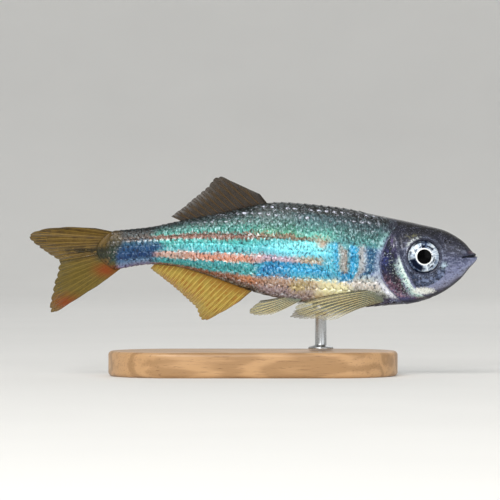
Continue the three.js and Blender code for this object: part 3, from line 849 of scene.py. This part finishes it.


# Finishes of the fish

# Colours across the flank, from the back's midline at 0 to the belly's at 7, at stations further and
# further back
# NAPE ends near black at 7: painted shade on the underside.
NAPE = [
    (0, "1c1d18"), (0.45, "2c2c2a"), (1, "3e5258"), (1.6, "407470"), (2, "56989a"), (3, "54a0b4"),
    (4, "6ea4b2"), (5.2, "b4c0c0"), (5.7, "e4d8cc"), (6.2, "b4b4a8"), (6.5, "6c706c"), (6.8, "4c4858"),
    (7, "16151a"),
]
SHOULDER = [
    (0, "1c1d18"), (0.45, "2e2e28"), (1, "446268"), (1.5, "488880"), (1.85, "64bcac"), (2.1, "8c9c84"),
    (2.3, "78d6d6"), (2.9, "8cf4fc"), (3.5, "70d8ec"), (3.8, "a6a28c"), (4.15, "ae9478"), (4.36, "44b4dc"),
    (4.9, "2ca8e0"), (5.45, "54bcdc"), (5.8, "fff0bc"), (6.2, "fffcc8"), (6.6, "f0e0b0"), (7, "6c665c"),
]
MIDDLE = [
    (0, "2a2b25"), (0.5, "434846"), (1, "4a6262"), (1.5, "346c60"), (1.8, "489478"), (1.95, "7c6850"),
    (2.15, "78644c"), (2.36, "50acac"), (2.9, "58c0cc"), (3.35, "68ccdc"), (3.68, "84c4d8"),
    (3.86, "bca4bc"), (4.16, "bca4ac"), (4.38, "2890c0"), (4.9, "147ebc"), (5.4, "2c9cd0"),
    (5.78, "c09c84"), (6.15, "b89884"), (6.5, "b8a4ac"), (7, "847a7c"),
]
REAR = [
    (0, "1e1f1a"), (0.6, "283636"), (1.1, "1c504a"), (1.62, "28867a"), (1.8, "5c4c3c"), (2, "744430"),
    (2.2, "6c4c38"), (2.38, "44a8a0"), (2.9, "5ac8cc"), (3.42, "64c4d0"), (3.72, "e09c84"), (4.12, "dc9274"),
    (4.3, "d8b09c"), (4.45, "44a4ac"), (4.9, "40a8ac"), (5.4, "48acb0"), (5.76, "a06850"), (6.15, "946c5c"),
    (6.5, "7c6860"), (7, "4c4438"),
]
STALK = [
    (0, "12110e"), (0.8, "131310"), (1.5, "1b1c18"), (2, "4a382c"), (2.4, "1c4a60"), (3.1, "004272"),
    (4.1, "003062"), (4.6, "466a8e"), (5.1, "7088aa"), (5.7, "8088ae"), (6.4, "8c80a4"), (7, "4c443c"),
]
TAIL_END = [
    (0, "3c2c14"), (1.6, "4e3e1c"), (2.3, "443a1c"), (2.9, "1c2a1c"), (4.3, "1c3c36"), (5, "585020"),
    (5.6, "6c3c14"), (7, "74360f"),
]
FIN_ROOT = [
    (0, "4c3814"), (2.6, "644e1e"), (3.1, "2a2810"), (3.8, "262c18"), (4.3, "644e1e"), (5.2, "6c4418"),
    (7, "70340f"),
]
# Colours along the flank behind the gill cover, over s, and the s of the orange bar's middle
BARS = [
    (18.4, "8c9cc0"), (19.6, "7c8cb4"), (20.2, "34608c"), (21, "24587c"), (22, "2c6088"), (22.6, "8c9cb0"),
    (23.2, "b6b6b8"), (23.8, "a8b0b4"), (24.2, "40a8d0"), (25.3, "20a4dc"), (26, "5c98a8"), (26.4, "988e84"),
    (27.2, "a8a6a2"), (27.8, "84a4a4"), (28.2, "38a8d4"), (29.6, "54c0da"),
]
ORANGE_BAR = 26.6
# Colours of the head from the back's midline to the throat's, and of the gill cover over h
# HEAD ends near black at 7: painted shade on the throat's underside.
HEAD = [
    (0, "14120e"), (0.3, "1e1c1a"), (0.8, "24242c"), (1.5, "2a2c3c"), (2.6, "363a54"), (3.8, "4c5270"),
    (5.2, "747a9c"), (6, "8a90b0"), (6.5, "84869e"), (6.86, "4c445c"), (7, "1c181f"),
]
GILL_COVER_TINTS = [
    (-9, "4a3c64"), (-7.6, "543c58"), (-6, "543448"), (-4.4, "2e1c34"), (-2.6, "061230"), (-0.6, "08123e"),
    (1.4, "0a0e36"), (3, "120f32"), (4.4, "22243c"),
]
# Dark arcs of the iris: the middle's angle and half the run in degrees, inner and outer edge as shares of
# the radius
IRIS_ARCS = [
    (226, 38, 0.56, 0.84), (94, 10, 0.5, 0.72), (56, 20, 0.62, 0.72), (268, 34, 0.9, 0.97),
    (305, 12, 0.72, 0.8), (100, 34, 0.86, 0.93), (340, 18, 0.6, 0.66), (180, 20, 0.84, 0.88),
]
# For each fin's finish: the colours of the web, the rays, their flanks and the root, and how much of the
# light the web and the rays stop
FIN_LOOKS = {
    "smoky_fin": ("342818", "54422a", "18100a", "2c221a", 0.78, 0.94),
    "golden_fin": ("ac9640", "c4aa58", "6c501c", "a47428", 0.86, 0.97),
    "clear_fin": ("8e8462", "dccf9c", "302c1c", "7a8274", 0.42, 0.88),
    "tail_fin": ("665020", "82682e", "30240e", "4c3814", 0.93, 0.98),
}
# Most of a noise's values lie between these
USUAL_NOISE = (0.3, 0.7)


def flank_markings():
    """The flank's colours from its lie: s along, stripe number across. Fine noise frays every edge and
    speckles the whole with dark flecks and pale painted glints, and each stripe changes its colour at a place
    of its own. The bars behind the gill cover lean in towards a loop under the orange one, and a collar
    follows the gill opening. Painted shade darkens the underside along the belly. Shimmer says where the skin
    is most metallic."""
    group, sheet, given, result = shader_group(
        "flank_markings", {"Lie": "Vector", "Edges": "Vector", "Place": "Vector"},
        {"Color": "Color", "Shimmer": "Float"},
    )
    spot = given["Place"]
    s, stripe, _ = given["Lie"].parts()
    height = spot.parts()[2] - AXIS_HEIGHT
    fray = sheet.noise(spot, 2, 3, 0.6) - 0.5
    drift = sheet.noise(spot, 0.3, 1) - 0.5
    near_gill = given["Edges"].parts()[0] + fray * 1.2
    stripe = stripe + (drift * 0.4 + fray)
    along = s + (drift * 5 + fray * 2)

    lower = stripe.rise(5.5, 5.9)
    later = stripe.hump(5, 0.7) * 4 + stripe.hump(3, 0.75) * 6.5 - stripe.hump(2.05, 0.4) * 2.6
    colour = sheet.ramp(stripe, NAPE, 0, 7)
    for stops, at, low, high in (
        (SHOULDER, along + lower * 2.6, 27.2, 30.6), (MIDDLE, along - later + lower * 3.2, 33.6, 38),
        (REAR, along, 42.2, 46), (STALK, along + stripe.hump(3, 0.9) * 2, 63, 66.4),
        (TAIL_END, along, 70.8, 72.8), (FIN_ROOT, along, 73.6, 75.6),
    ):
        colour = sheet.mix(at.rise(low, high), colour, sheet.ramp(stripe, stops, 0, 7))
    colour = sheet.glaze(
        colour,
        ("b0b4ac", along.hump(61, 6) * stripe.hump(4.05, 0.7) * 0.55),
        ("3c8c80", along.hump(61.5, 4) * stripe.hump(2.9, 0.8) * 0.7),
        ("c8ba7a", along.hump(35.4, 2.8) * stripe.hump(6.1, 0.7) * 0.7),
        ("e0986c", along.hump(46.6, 4.4) * stripe.hump(5.95, 0.6) * 0.85),
        ("bc9478", s.hump(31, 2.2) * stripe.hump(2.4, 0.7) * 0.9),
    )

    lean = stripe.rise(4.3, 6) * 1.1 + 1
    bars = sheet.ramp((s - ORANGE_BAR) * lean + ORANGE_BAR + fray * 1.3, BARS, 18, 30)
    top = (stripe - s.hump(ORANGE_BAR, 1.2) * 0.5).rise(1.85, 2.35)
    bottom = (stripe - s.hump(ORANGE_BAR, 3.4) * 0.5).rise(5.3, 4.9)
    colour = sheet.glaze(
        colour,
        (bars, top * bottom * along.rise(31.2, 29.2)),
        ("2a96cc", s.hump(ORANGE_BAR, 2) * stripe.hump(5.25, 0.55) * 1.4),
        ("a4b4d0", near_gill.hump(0.4, 1) * height.rise(4.6, 2.6) * 0.6),
        ("94c8c4", near_gill.hump(0.7, 0.7) * height.rise(0.6, 2.4) * height.rise(5.4, 4.2) * 0.7),
        ("3a3a48", near_gill.rise(2.2, 0.2) * height.rise(3.6, 5.2) * 0.75),
        ("a4a8b8", near_gill.hump(0.8, 2) * height.hump(-4.6, 2.4) * 0.6),
        ("eceef8", near_gill.hump(0.45, 0.95) * height.rise(-4.4, -6.4) * height.rise(-9, -7.8)),
        ("a49c9c", s.hump(73.2, 1.6) * stripe.hump(3.4, 1.3) * fray.rise(0.06, 0.12)),
        ("4c4870", near_gill.rise(5, 1.5) * height.rise(-8, -8.9) * 0.8),
    )

    grain = sheet.noise(spot, 2.1, 2, 0.6, stretch=(1.35, 1, 0.75))
    # Painted glints: pale specks screened over the colour as sparkling highlight, weaker over the back and
    # towards the tail.
    vivid = stripe.rise(0.6, 1.8) * along.rise(66, 62) * (stripe.hump(2, 0.5) * -0.8 + 1)
    bright = sheet.largest(s.hump(25, 6), stripe.hump(4, 0.4))
    strength = vivid.scaled(0.18, 0.6) * s.rise(73, 68) + bright * vivid * 0.2
    colour = sheet.mix(grain.rise(0.53, 0.66) * strength, colour, "b4d0dc", "SCREEN")
    pale = along.hump(31, 5) * stripe.rise(5.4, 5.8)
    colour = sheet.mix(grain.rise(0.47, 0.32) * (pale * -0.75 + 0.9), colour, "44586a", "MULTIPLY")
    # Painted shade: near black along the belly's midline, where the underside turns away, fading out towards
    # the tail stalk.
    colour = sheet.mix(stripe.rise(6.84, 6.98) * s.rise(68, 60) * 0.75, colour, "121014")
    sheen = stripe.rise(0.7, 2) * stripe.rise(7, 5.8) * s.rise(72, 69)
    sheet.fill(result, {"Color": colour, "Shimmer": sheen * grain.rise(0.25, 0.6)})
    return group


def head_markings():
    """The head's colours: near black above with a darker band along the top edge, lilac-grey on snout and jaw
    with pale streaks that are partly painted highlight, a white-green ridge with painted shade in front of it
    and a mottled mint zone behind it, a gill cover in deep violet, navy and wine, slate plates with pale
    seams under the eye, a white patch below them, painted highlights in front of the eye and on its rim
    above, and painted shade in the hollows, round the eyeball and along the throat's underside."""
    group, sheet, given, result = shader_group(
        "head_markings", {"Lie": "Vector", "Edges": "Vector", "Trim": "Vector", "Place": "Vector"},
        {"Color": "Color"},
    )
    spot = given["Place"]
    s, stripe, _ = given["Lie"].parts()
    behind_gill, behind_cheek, within_cheek = given["Edges"].parts()
    hollow, seam, orbit = given["Trim"].parts()
    height = spot.parts()[2] - AXIS_HEIGHT
    grain = sheet.noise(spot, 2.2, 3, 0.65)
    fleck = sheet.noise(spot, 3.4, 1, 0.5)
    cloud = sheet.noise(spot, 0.7, 2) - 0.5
    streak = sheet.noise(spot, 1.3, 3, 0.6, stretch=(0.45, 1, 1.6))
    slant = sheet.noise(spot, 1.5, 3, 0.65, stretch=(1.3, 1, 0.6))
    colour = sheet.glaze(
        sheet.ramp(stripe + cloud * 1.2, HEAD, 0, 7),
        # Pale streaks: partly the skin's own streaky tone, partly painted highlight.
        ("a4aac6", streak.rise(0.5, 0.7) * stripe.rise(0.8, 2.6) * stripe.rise(6.6, 5.9) * 0.55),
        ("2a2a3c", streak.rise(0.49, 0.32) * 0.65),
        ("8c8a64", s.hump(13.2, 2.2) * height.hump(4, 0.9) * grain.rise(0.42, 0.6) * 0.6),
    )

    front = behind_cheek + height.rise(-2.5, 0.5) * 1.1
    lid = front.rise(1, 1.7) * behind_gill.rise(-0.1, -0.35)
    lid = lid * height.rise(4.8, 3.5) * height.rise(-9, -8.2)
    deep = sheet.glaze(
        sheet.ramp(height + cloud * 5, GILL_COVER_TINTS, -9, 4.4),
        ("303c84", behind_gill.hump(-1, 1.1) * height.hump(-0.8, 3.4) * grain.rise(0.3, 0.6) * 0.75),
        ("a07c8c", height.rise(-3.4, -5.2) * slant.rise(0.5, 0.64) * 0.8),
        ("4c3470", height.rise(-1, 1) * slant.rise(0.5, 0.66) * 0.7),
        ("0c0c1c", slant.rise(0.48, 0.36) * 0.85),
        ("0c1614", behind_cheek.hump(1.7, 1.1) * grain.rise(0.62, 0.4) * 0.9),
    )
    below = behind_cheek.rise(0.4, 1) * height.rise(-7.9, -8.6) * height.rise(-10, -9.3)
    spread = behind_cheek - 0.8 + grain * 1.6 + cloud * 1.6
    mint_zone = behind_cheek.rise(-0.2, 0.1) * spread.rise(1.7, 0.5)
    mint_zone = mint_zone * height.rise(-0.2, -2.6) * height.rise(-9.2, -8)
    mint = sheet.mix(grain.rise(0.38, 0.58), "98c4be", "ecfffa")
    mint = sheet.mix((spread * -0.05 + fleck).rise(0.38, 0.3), mint, "2c3c40")
    line = behind_cheek.hump(0.16, 0.36) * height.rise(0.8, -1.4) * height.rise(-8.4, -7.4)
    colour = sheet.glaze(
        colour,
        (deep, lid),
        ("b4c4bc", behind_cheek.hump(2.1, 1.2) * fleck.rise(0.62, 0.7) * lid * 0.7),
        ("747ca4", behind_gill.hump(-0.16, 0.34) * height.rise(5.2, 3.6) * grain.rise(0.35, 0.55) * 0.3),
        ("484c84", below * 0.75),
        ("7c7cb0", below * streak.rise(0.5, 0.64) * 0.6),
        (mint, mint_zone),
        # Painted shade in the groove in front of the cheek's ridge.
        ("141c38", behind_cheek.hump(-0.75, 0.65) * height.rise(2.5, 0.5) * height.rise(-8, -7) * 0.95),
        ("e8f8f4", line * grain.rise(0.28, 0.54) * 0.95),
    )

    plates = within_cheek.rise(0.05, 0.3) * within_cheek.rise(3.6, 2.8)
    plates = plates * behind_cheek.rise(-0.5, -0.9) * height.rise(-1.4, -2.2)
    slate = sheet.mix(grain.rise(0.4, 0.66), "0c162c", "3c4c6c")
    slate = sheet.mix(cloud.rise(0.02, 0.14) * 0.85, slate, "7c8cb0")
    outline = within_cheek.hump(0, 0.4) * height.rise(-1.6, -2.6) * behind_cheek.rise(-0.6, -1)
    patch_long, patch_tall = (s - 10.9) / 2.2, (height + 6.95) / 0.7
    patch = patch_long * patch_long + patch_tall * patch_tall + (grain - 0.5) * 3
    # Painted highlight: a pale spot on the eye's rim, above the back half of the eye.
    brow_highlight = orbit.hump(3.95, 0.42) * height.rise(1.4, 2.6) * s.rise(11, 12.6)
    colour = sheet.glaze(
        colour,
        (slate, plates * 0.95),
        ("8c98bc", outline * grain.rise(0.4, 0.6) * 0.5),
        ("9cabd0", seam * grain.rise(0.44, 0.6) * 0.6),
        # Painted highlight: a pale patch in front of the eye and below its middle.
        ("c4dcec", s.hump(6.9, 1.5) * height.hump(-1.9, 1.1) * grain.rise(0.42, 0.55) * 0.9),
        ("f2f4ec", patch.rise(1.6, 0.3) * 0.95),
        ("7c4454", s.hump(11, 3.6) * height.hump(-8.4, 0.6) * 0.7),
        # Painted shade in the crevice round the eyeball.
        ("1c2034", orbit.hump(3.45, 0.4) * 0.8),
        ("8c96ae", orbit.hump(3.95, 0.35) * grain.rise(0.38, 0.6) * 0.45),
        ("ccd4d0", brow_highlight * grain.rise(0.42, 0.56) * 0.8),
        # Painted shade inside the eye's rim, and in the hollows of the mouth, the nostrils and the gutter
        # under the gill cover's edge.
        ("0b0a10", orbit.rise(3.3, 3.15)),
        ("08070c", hollow),
    )
    colour = sheet.mix(fleck.rise(0.44, 0.3) * 0.5, colour, "4c4c5c", "MULTIPLY")
    colour = sheet.mix(fleck.rise(0.56, 0.7) * 0.24, colour, "a4a8bc", "SCREEN")
    # Painted shade along the throat's underside, and a darker band along the top edge, both with ragged edges
    # from the streaks.
    rim_place = stripe + (streak - 0.5) * 0.5
    colour = sheet.glaze(
        colour,
        ("131118", rim_place.rise(6.5, 6.84) * 0.85),
        ("141312", rim_place.rise(0.42, 0.02) * 0.6),
        ("5c4450", s.rise(2.4, 1.2) * height.hump(0.75, 0.5) * 0.6),
    )
    sheet.fill(result, {"Color": colour})
    return group


def wet_grain():
    """Fine pits and a broken gloss for wet skin: Height for a bump, Gloss to vary roughness."""
    group, sheet, given, result = shader_group(
        "wet_grain", {"Place": "Vector", "Fineness": "Float"}, {"Height": "Float", "Gloss": "Float"},
    )
    fine = sheet.noise(given["Place"], given["Fineness"], 3, 0.6)
    broad = sheet.noise(given["Place"], 0.9, 2)
    sheet.fill(result, {"Height": fine, "Gloss": fine * 0.6 + broad * 0.4})
    return group


def skin_material(markings, head, grain):
    """The skin: the flank's colours, and the head's in front of a ragged line along the gill opening."""
    material, sheet = new_material("wet_skin")
    spot = sheet.place_mm()
    seen = {"Lie": sheet.field("lie"), "Edges": sheet.field("edges"), "Place": spot}
    flank = sheet.use(markings, seen)
    face = sheet.use(head, {**seen, "Trim": sheet.field("trim")})
    wet = sheet.use(grain, {"Place": spot, "Fineness": 3.2})
    mottle = sheet.noise(spot, 1.6, 3, 0.6) - 0.5
    above = spot.parts()[2].rise(AXIS_HEIGHT + 3, AXIS_HEIGHT + 5.5)
    ragged = mottle * above * 4 + seen["Edges"].parts()[0]
    stripe = seen["Lie"].parts()[1]
    ends = sheet.largest(stripe.rise(6.4, 6.8), stripe.rise(0.5, 0.1))
    finish(sheet, wet["Height"], 0.6, 0.00008, {
        "Base Color": sheet.mix(ragged.rise(0.08, -0.06), flank["Color"], face["Color"]),
        "Roughness": wet["Gloss"].scaled(0.26, 0.46, *USUAL_NOISE), "Metallic": 0.2,
        "Specular IOR Level": 0.35, "Coat Weight": ends * -0.22 + 0.25, "Coat Roughness": 0.12,
    })
    return material


def scale_material(markings, grain):
    """The scales: the flank's colours, with a dark hind edge and pale painted glints on the back, and a tone
    of its own for each scale."""
    material, sheet = new_material("wet_scales")
    spot = sheet.place_mm()
    lie = sheet.field("lie")
    s, stripe, _ = lie.parts()
    q, p, tone = sheet.field("plate").parts()
    flank = sheet.use(markings, {"Lie": lie, "Edges": sheet.field("edges"), "Place": spot})
    wet = sheet.use(grain, {"Place": spot, "Fineness": 2.6})
    colour = sheet.mix(q.rise(0.84, 1) * stripe.rise(2, 0.8) * 0.55, flank["Color"], "121819")
    colour = sheet.mix(tone.rise(0.4, 0) * 0.22, colour, "405060", "MULTIPLY")
    # Painted glints: pale highlights near the free edge of the scales on the back, with finer specks among
    # them.
    fine = sheet.noise(spot, 3, 2, 0.6)
    on_back = stripe.rise(0.08, 0.25) * stripe.rise(1.5, 0.6) * s.rise(60, 50)
    glint = q.hump(0.78, 0.24) * abs(p).rise(tone * 0.3 + 0.16, 0.1) * fine.rise(0.4, 0.56)
    glint = glint * on_back * sheet.noise(spot, 0.5, 2).rise(0.36, 0.56)
    glint = sheet.largest(glint * 1.5, fine.rise(0.58, 0.68) * on_back * 0.5)
    finish(sheet, wet["Height"], 0.6, 0.0001, {
        "Base Color": sheet.mix(glint, colour, "dcdff0"), "Metallic": flank["Shimmer"] * 0.45,
        "Roughness": wet["Gloss"].scaled(0.24, 0.46, *USUAL_NOISE), "Specular IOR Level": 0.4,
        "Coat Weight": 0.2, "Coat Roughness": 0.12,
    })
    return material


def fin_material(name, grain):
    """A thin web between jointed rays with dark flanks. The tail fin has a dark streak along its middle and
    orange-red at the root and tip of its lower lobe."""
    web, rays, flank, root, web_cover, ray_cover = FIN_LOOKS[name]
    material, sheet = new_material(name)
    spot = sheet.place_mm()
    ray, out, number = sheet.field("web").parts()
    wet = sheet.use(grain, {"Place": spot, "Fineness": 3})
    cloud = sheet.noise(spot, 0.7, 3)
    strands = sheet.noise(sheet.add("ShaderNodeCombineXYZ", {0: number, 1: out * 1.5}), 6, 3, 0.6)
    joints = sheet.math("SINE", out * 150)
    bone = sheet.mix(joints.rise(0.2, 1) * 0.35, rays, web)
    colour = sheet.glaze(
        sheet.mix(cloud.rise(0.3, 0.7), web, root),
        (flank, strands.rise(0.5, 0.3) * 0.45),
        (rays, strands.rise(0.52, 0.72) * 0.4),
        (flank, ray.hump(0.3, 0.28) * 0.7),
        (bone, ray.rise(0.4, 0.75)),
        (root, out.rise(0.35, 0.03)),
        (flank, number.rise(0.5, 0.15) * 0.85),
    )
    if name == "tail_fin":
        x, _, z = spot.parts()
        s, height = x * -1 + TOTAL_LENGTH / 2, z - AXIS_HEIGHT
        wander = height + (cloud - 0.5) * 1.6
        brushed = sheet.noise(spot, 1.3, 3, 0.6, stretch=(0.5, 1, 1.3))
        corners = s.hump(74.6, 4) * wander.hump(-2.9, 2.1) + s.hump(82.6, 4.4) * wander.hump(-9.4, 2.8)
        colour = sheet.glaze(
            colour,
            ("6c6028", height.rise(0.5, -2) * 0.5),
            ("2a2000", wander.hump(1.2, 1.2) * s.rise(86, 77) * brushed.rise(0.36, 0.52) * 1.4),
            ("1c302c", s.rise(78, 74.5) * wander.hump(0.6, 2.6) * cloud.rise(0.35, 0.55)),
            ("84340c", corners * 0.8),
        )
    solid = sheet.largest(ray.rise(0.15, 0.7), out.rise(0.25, 0.02)).scaled(web_cover, ray_cover)
    loose = number.rise(3, 7) * ray.rise(0.6, 0.2) * (web_cover - 1) + -0.15
    finish(sheet, wet["Height"], 0.3, 0.00005, {
        "Base Color": colour, "Alpha": sheet.math("ADD", solid, out.rise(0.6, 1.05) * loose, clamp=True),
        "Roughness": wet["Gloss"].scaled(0.3, 0.5, *USUAL_NOISE), "Specular IOR Level": 0.12,
        "Coat Weight": 0.03, "Coat Roughness": 0.2,
    })
    return material


def eye_material():
    """A black pupil in a bright ring, a silver iris with fine spokes and dark arcs, and a dark outer
    ring."""
    material, sheet = new_material("eye_glass")
    dial = sheet.field("dial")
    x, y, share = dial.parts()
    angle = sheet.math("ARCTAN2", y, x)
    spoke = sheet.add("ShaderNodeCombineXYZ", {0: angle * 5, 1: share})
    spokes = sheet.noise(spoke, 2.2, 3, 0.6, stretch=(1, 0.8, 1))
    cloud = sheet.noise(dial, 3.2, 3, 0.6)
    wavy = share + (cloud - 0.5) * 0.16

    def lobe(turn, half, outer=1.4, inner=0.5):
        gap = abs(sheet.math("WRAP", angle - math.radians(turn), -math.pi, math.pi))
        return gap.rise(math.radians(half) * outer, math.radians(half) * inner)

    def arc(turn, half, inner, outer):
        band = wavy.rise(inner - 0.03, inner + 0.03) * wavy.rise(outer + 0.03, outer - 0.03)
        return lobe(turn, half, 1.3, 0.7) * band

    bright = sheet.largest(lobe(145, 52), lobe(12, 56), lobe(-62, 44))
    silver = [(0, "18243c"), (0.3, "4c5c7c"), (0.6, "a8b8cc"), (1, "f2faff")]
    colour = sheet.glaze(
        sheet.ramp(bright * 0.55 + spokes.rise(0.3, 0.65) * 0.45, silver, 0, 1),
        ("2c3850", cloud.rise(0.48, 0.38) * 0.8),
        ("8ca4c4", lobe(-25, 40) * wavy.hump(0.84, 0.16) * 0.55),
        ("0c1428", sheet.largest(*[arc(*row) for row in IRIS_ARCS])),
        ("fbfdfd", share.rise(0.535, 0.51) * cloud.rise(0.32, 0.42)),
        ("020203", share.rise(0.46, 0.44)),
        ("1c2134", wavy.rise(0.93, 0.98)),
    )
    finish(sheet, spokes, 0.25, 0.00005, {
        "Base Color": colour, "Metallic": share.rise(0.45, 0.47) * 0.3, "Roughness": spokes * 0.2 + 0.5,
        "Specular IOR Level": 0, "Coat Weight": 0.2, "Coat IOR": 1.36, "Coat Roughness": 0.02,
    })
    return material


# Finishes of the stand

def wood_material():
    """Pale hardwood: growth rings along the board, with fine pores and a satin varnish."""
    material, sheet = new_material("stand_wood")
    spot = sheet.place_mm()
    bend = sheet.noise(spot, 0.05, 2, stretch=(0.35, 1.6, 1.6))
    warped = sheet.add("ShaderNodeVectorMath", {0: spot, 1: (0.05, 1, 0.7)}, operation="MULTIPLY")
    rings = sheet.math("SINE", bend * 60 + sheet.noise(warped, 0.9, 4, 0.6) * 6)
    pores = sheet.noise(spot, 2.4, 3, 0.7, stretch=(0.12, 1.6, 1.6))
    colour = sheet.mix(rings.rise(-1, 1), "a98257", "c49a6c")
    finish(sheet, pores, 0.25, 0.00008, {
        "Base Color": sheet.mix(pores.rise(0.56, 0.7) * 0.6, colour, "6f4d2c"),
        "Roughness": pores.scaled(0.34, 0.5, *USUAL_NOISE), "Coat Weight": 0.2, "Coat Roughness": 0.25,
    })
    return material


def steel_material():
    """Brushed steel: fine rings of scratches round the rod."""
    material, sheet = new_material("stand_steel")
    scratches = sheet.noise(sheet.place_mm(), 3, 3, 0.7, stretch=(0.6, 0.6, 9))
    finish(sheet, scratches, 0.2, 0.00003, {
        "Base Color": sheet.mix(scratches.rise(0.3, 0.7), "a4a7aa", "cdd0d2"),
        "Roughness": scratches.scaled(0.22, 0.38, *USUAL_NOISE), "Metallic": 1,
    })
    return material


# The room

ROOM = {"rings": [300.0, 600.0], "flat": 900.0, "bend": 500.0, "tall": 1500.0, "turns": 96}
PHOTO = {
    "pixels": 500, "mm_per_pixel": 0.2, "middle_x": -0.6, "middle_z": 25.2, "distance": 600.0, "depth": 1.8,
}
# Area lights: power, size and distance in metres, azimuth and elevation in degrees, colour
LIGHTS = {
    "key": (4.3, 0.5, 0.9, -24, 42, (1.0, 0.98, 0.95)),
    "fill": (1.6, 0.6, 1.0, 42, 18, (0.95, 0.98, 1.0)),
    "glint": (1.0, 0.06, 0.7, -8, 20, (1, 1, 1)),
    "behind": (1.2, 0.6, 1.0, 165, 35, (1, 1, 1)),
}


def make_room():
    """A pale round floor that curves up into a wall all round, so that no horizon shows."""
    bend, turns = ROOM["bend"], ROOM["turns"]
    angle = full_turn(turns)
    swing = np.linspace(0, math.pi / 2, 16)
    out = np.concatenate([ROOM["rings"], ROOM["flat"] + bend * np.sin(swing), [ROOM["flat"] + bend]])[:, None]
    height = np.concatenate([[0.0, 0.0], bend * (1 - np.cos(swing)), [ROOM["tall"]]])[:, None]
    points = np.stack([out * np.cos(angle), out * np.sin(angle), height + 0 * angle], -1)
    points = np.concatenate([points.reshape(-1, 3), [[0, 0, 0]]])
    count = len(out)
    faces = [grid_faces(count, turns, wrap=True), fan(count * turns, np.arange(turns))]
    floor = mesh_piece("floor", points, faces)
    material, sheet = new_material("pale_floor")
    sheet.fill(sheet.tree.nodes["Principled BSDF"], {
        "Base Color": sheet.mix(sheet.noise(sheet.place_mm(), 0.02, 2.0), "d9d8d4", "dfdeda"),
        "Roughness": 0.85, "Emission Color": "ffffff", "Emission Strength": 0.1,
    })
    floor.data.materials.append(material)


def make_camera():
    """A level camera at the fish's right side. Its lens makes the photo's frame as wide as its 500 pixels
    at a depth half way out to the flank."""
    data = bpy.data.cameras.new("camera")
    data.sensor_width = 36.0
    frame_width = PHOTO["pixels"] * PHOTO["mm_per_pixel"]
    data.lens = data.sensor_width * (PHOTO["distance"] - PHOTO["depth"]) / frame_width
    data.clip_start, data.clip_end = 0.02, 10.0
    camera = bpy.data.objects.new("camera", data)
    camera.location = (PHOTO["middle_x"] * MM, -PHOTO["distance"] * MM, PHOTO["middle_z"] * MM)
    camera.rotation_euler = (math.pi / 2, 0, 0)
    bpy.context.scene.collection.objects.link(camera)
    bpy.context.scene.camera = camera


def make_light():
    """Square soft lights that face the fish, from the front and above, one by the camera for glints and a
    weak one from behind, and an even pale surround."""
    for name, (energy, size, distance, azimuth, elevation, colour) in LIGHTS.items():
        data = bpy.data.lights.new(name, "AREA")
        data.energy, data.size, data.color = energy, size, colour
        light = bpy.data.objects.new(name, data)
        a, e = math.radians(azimuth), math.radians(elevation)
        away = np.array([math.sin(a) * math.cos(e), -math.cos(a) * math.cos(e), math.sin(e)])
        light.location = np.array([0, 0, AXIS_HEIGHT * MM]) + away * distance
        light.rotation_mode = "QUATERNION"
        light.rotation_quaternion = Vector(tuple(-away)).to_track_quat("-Z", "Y")
        bpy.context.scene.collection.objects.link(light)
    world = bpy.data.worlds.new("world")
    world.use_nodes = True
    world.node_tree.nodes["Background"].inputs[0].default_value = (0.9, 0.93, 1.0, 1.0)
    world.node_tree.nodes["Background"].inputs[1].default_value = 0.4
    bpy.context.scene.world = world
    bpy.context.scene.view_settings.view_transform = "Standard"


def main():
    markings, face, grain = flank_markings(), head_markings(), wet_grain()
    make_skin(skin_material(markings, face, grain))
    scales = scale_material(markings, grain)
    make_scales("scales_right", -1, scales)
    make_scales("scales_left", 1, scales)
    make_fins(*[fin_material(name, grain) for name in FIN_LOOKS])
    eye = eye_material()
    make_eye("eye_right_ball", -1, eye, "eye_right")
    make_eye("eye_left_ball", 1, eye, "eye_left")
    make_base(wood_material())
    make_rod(steel_material())
    make_room()
    make_camera()
    make_light()


main()
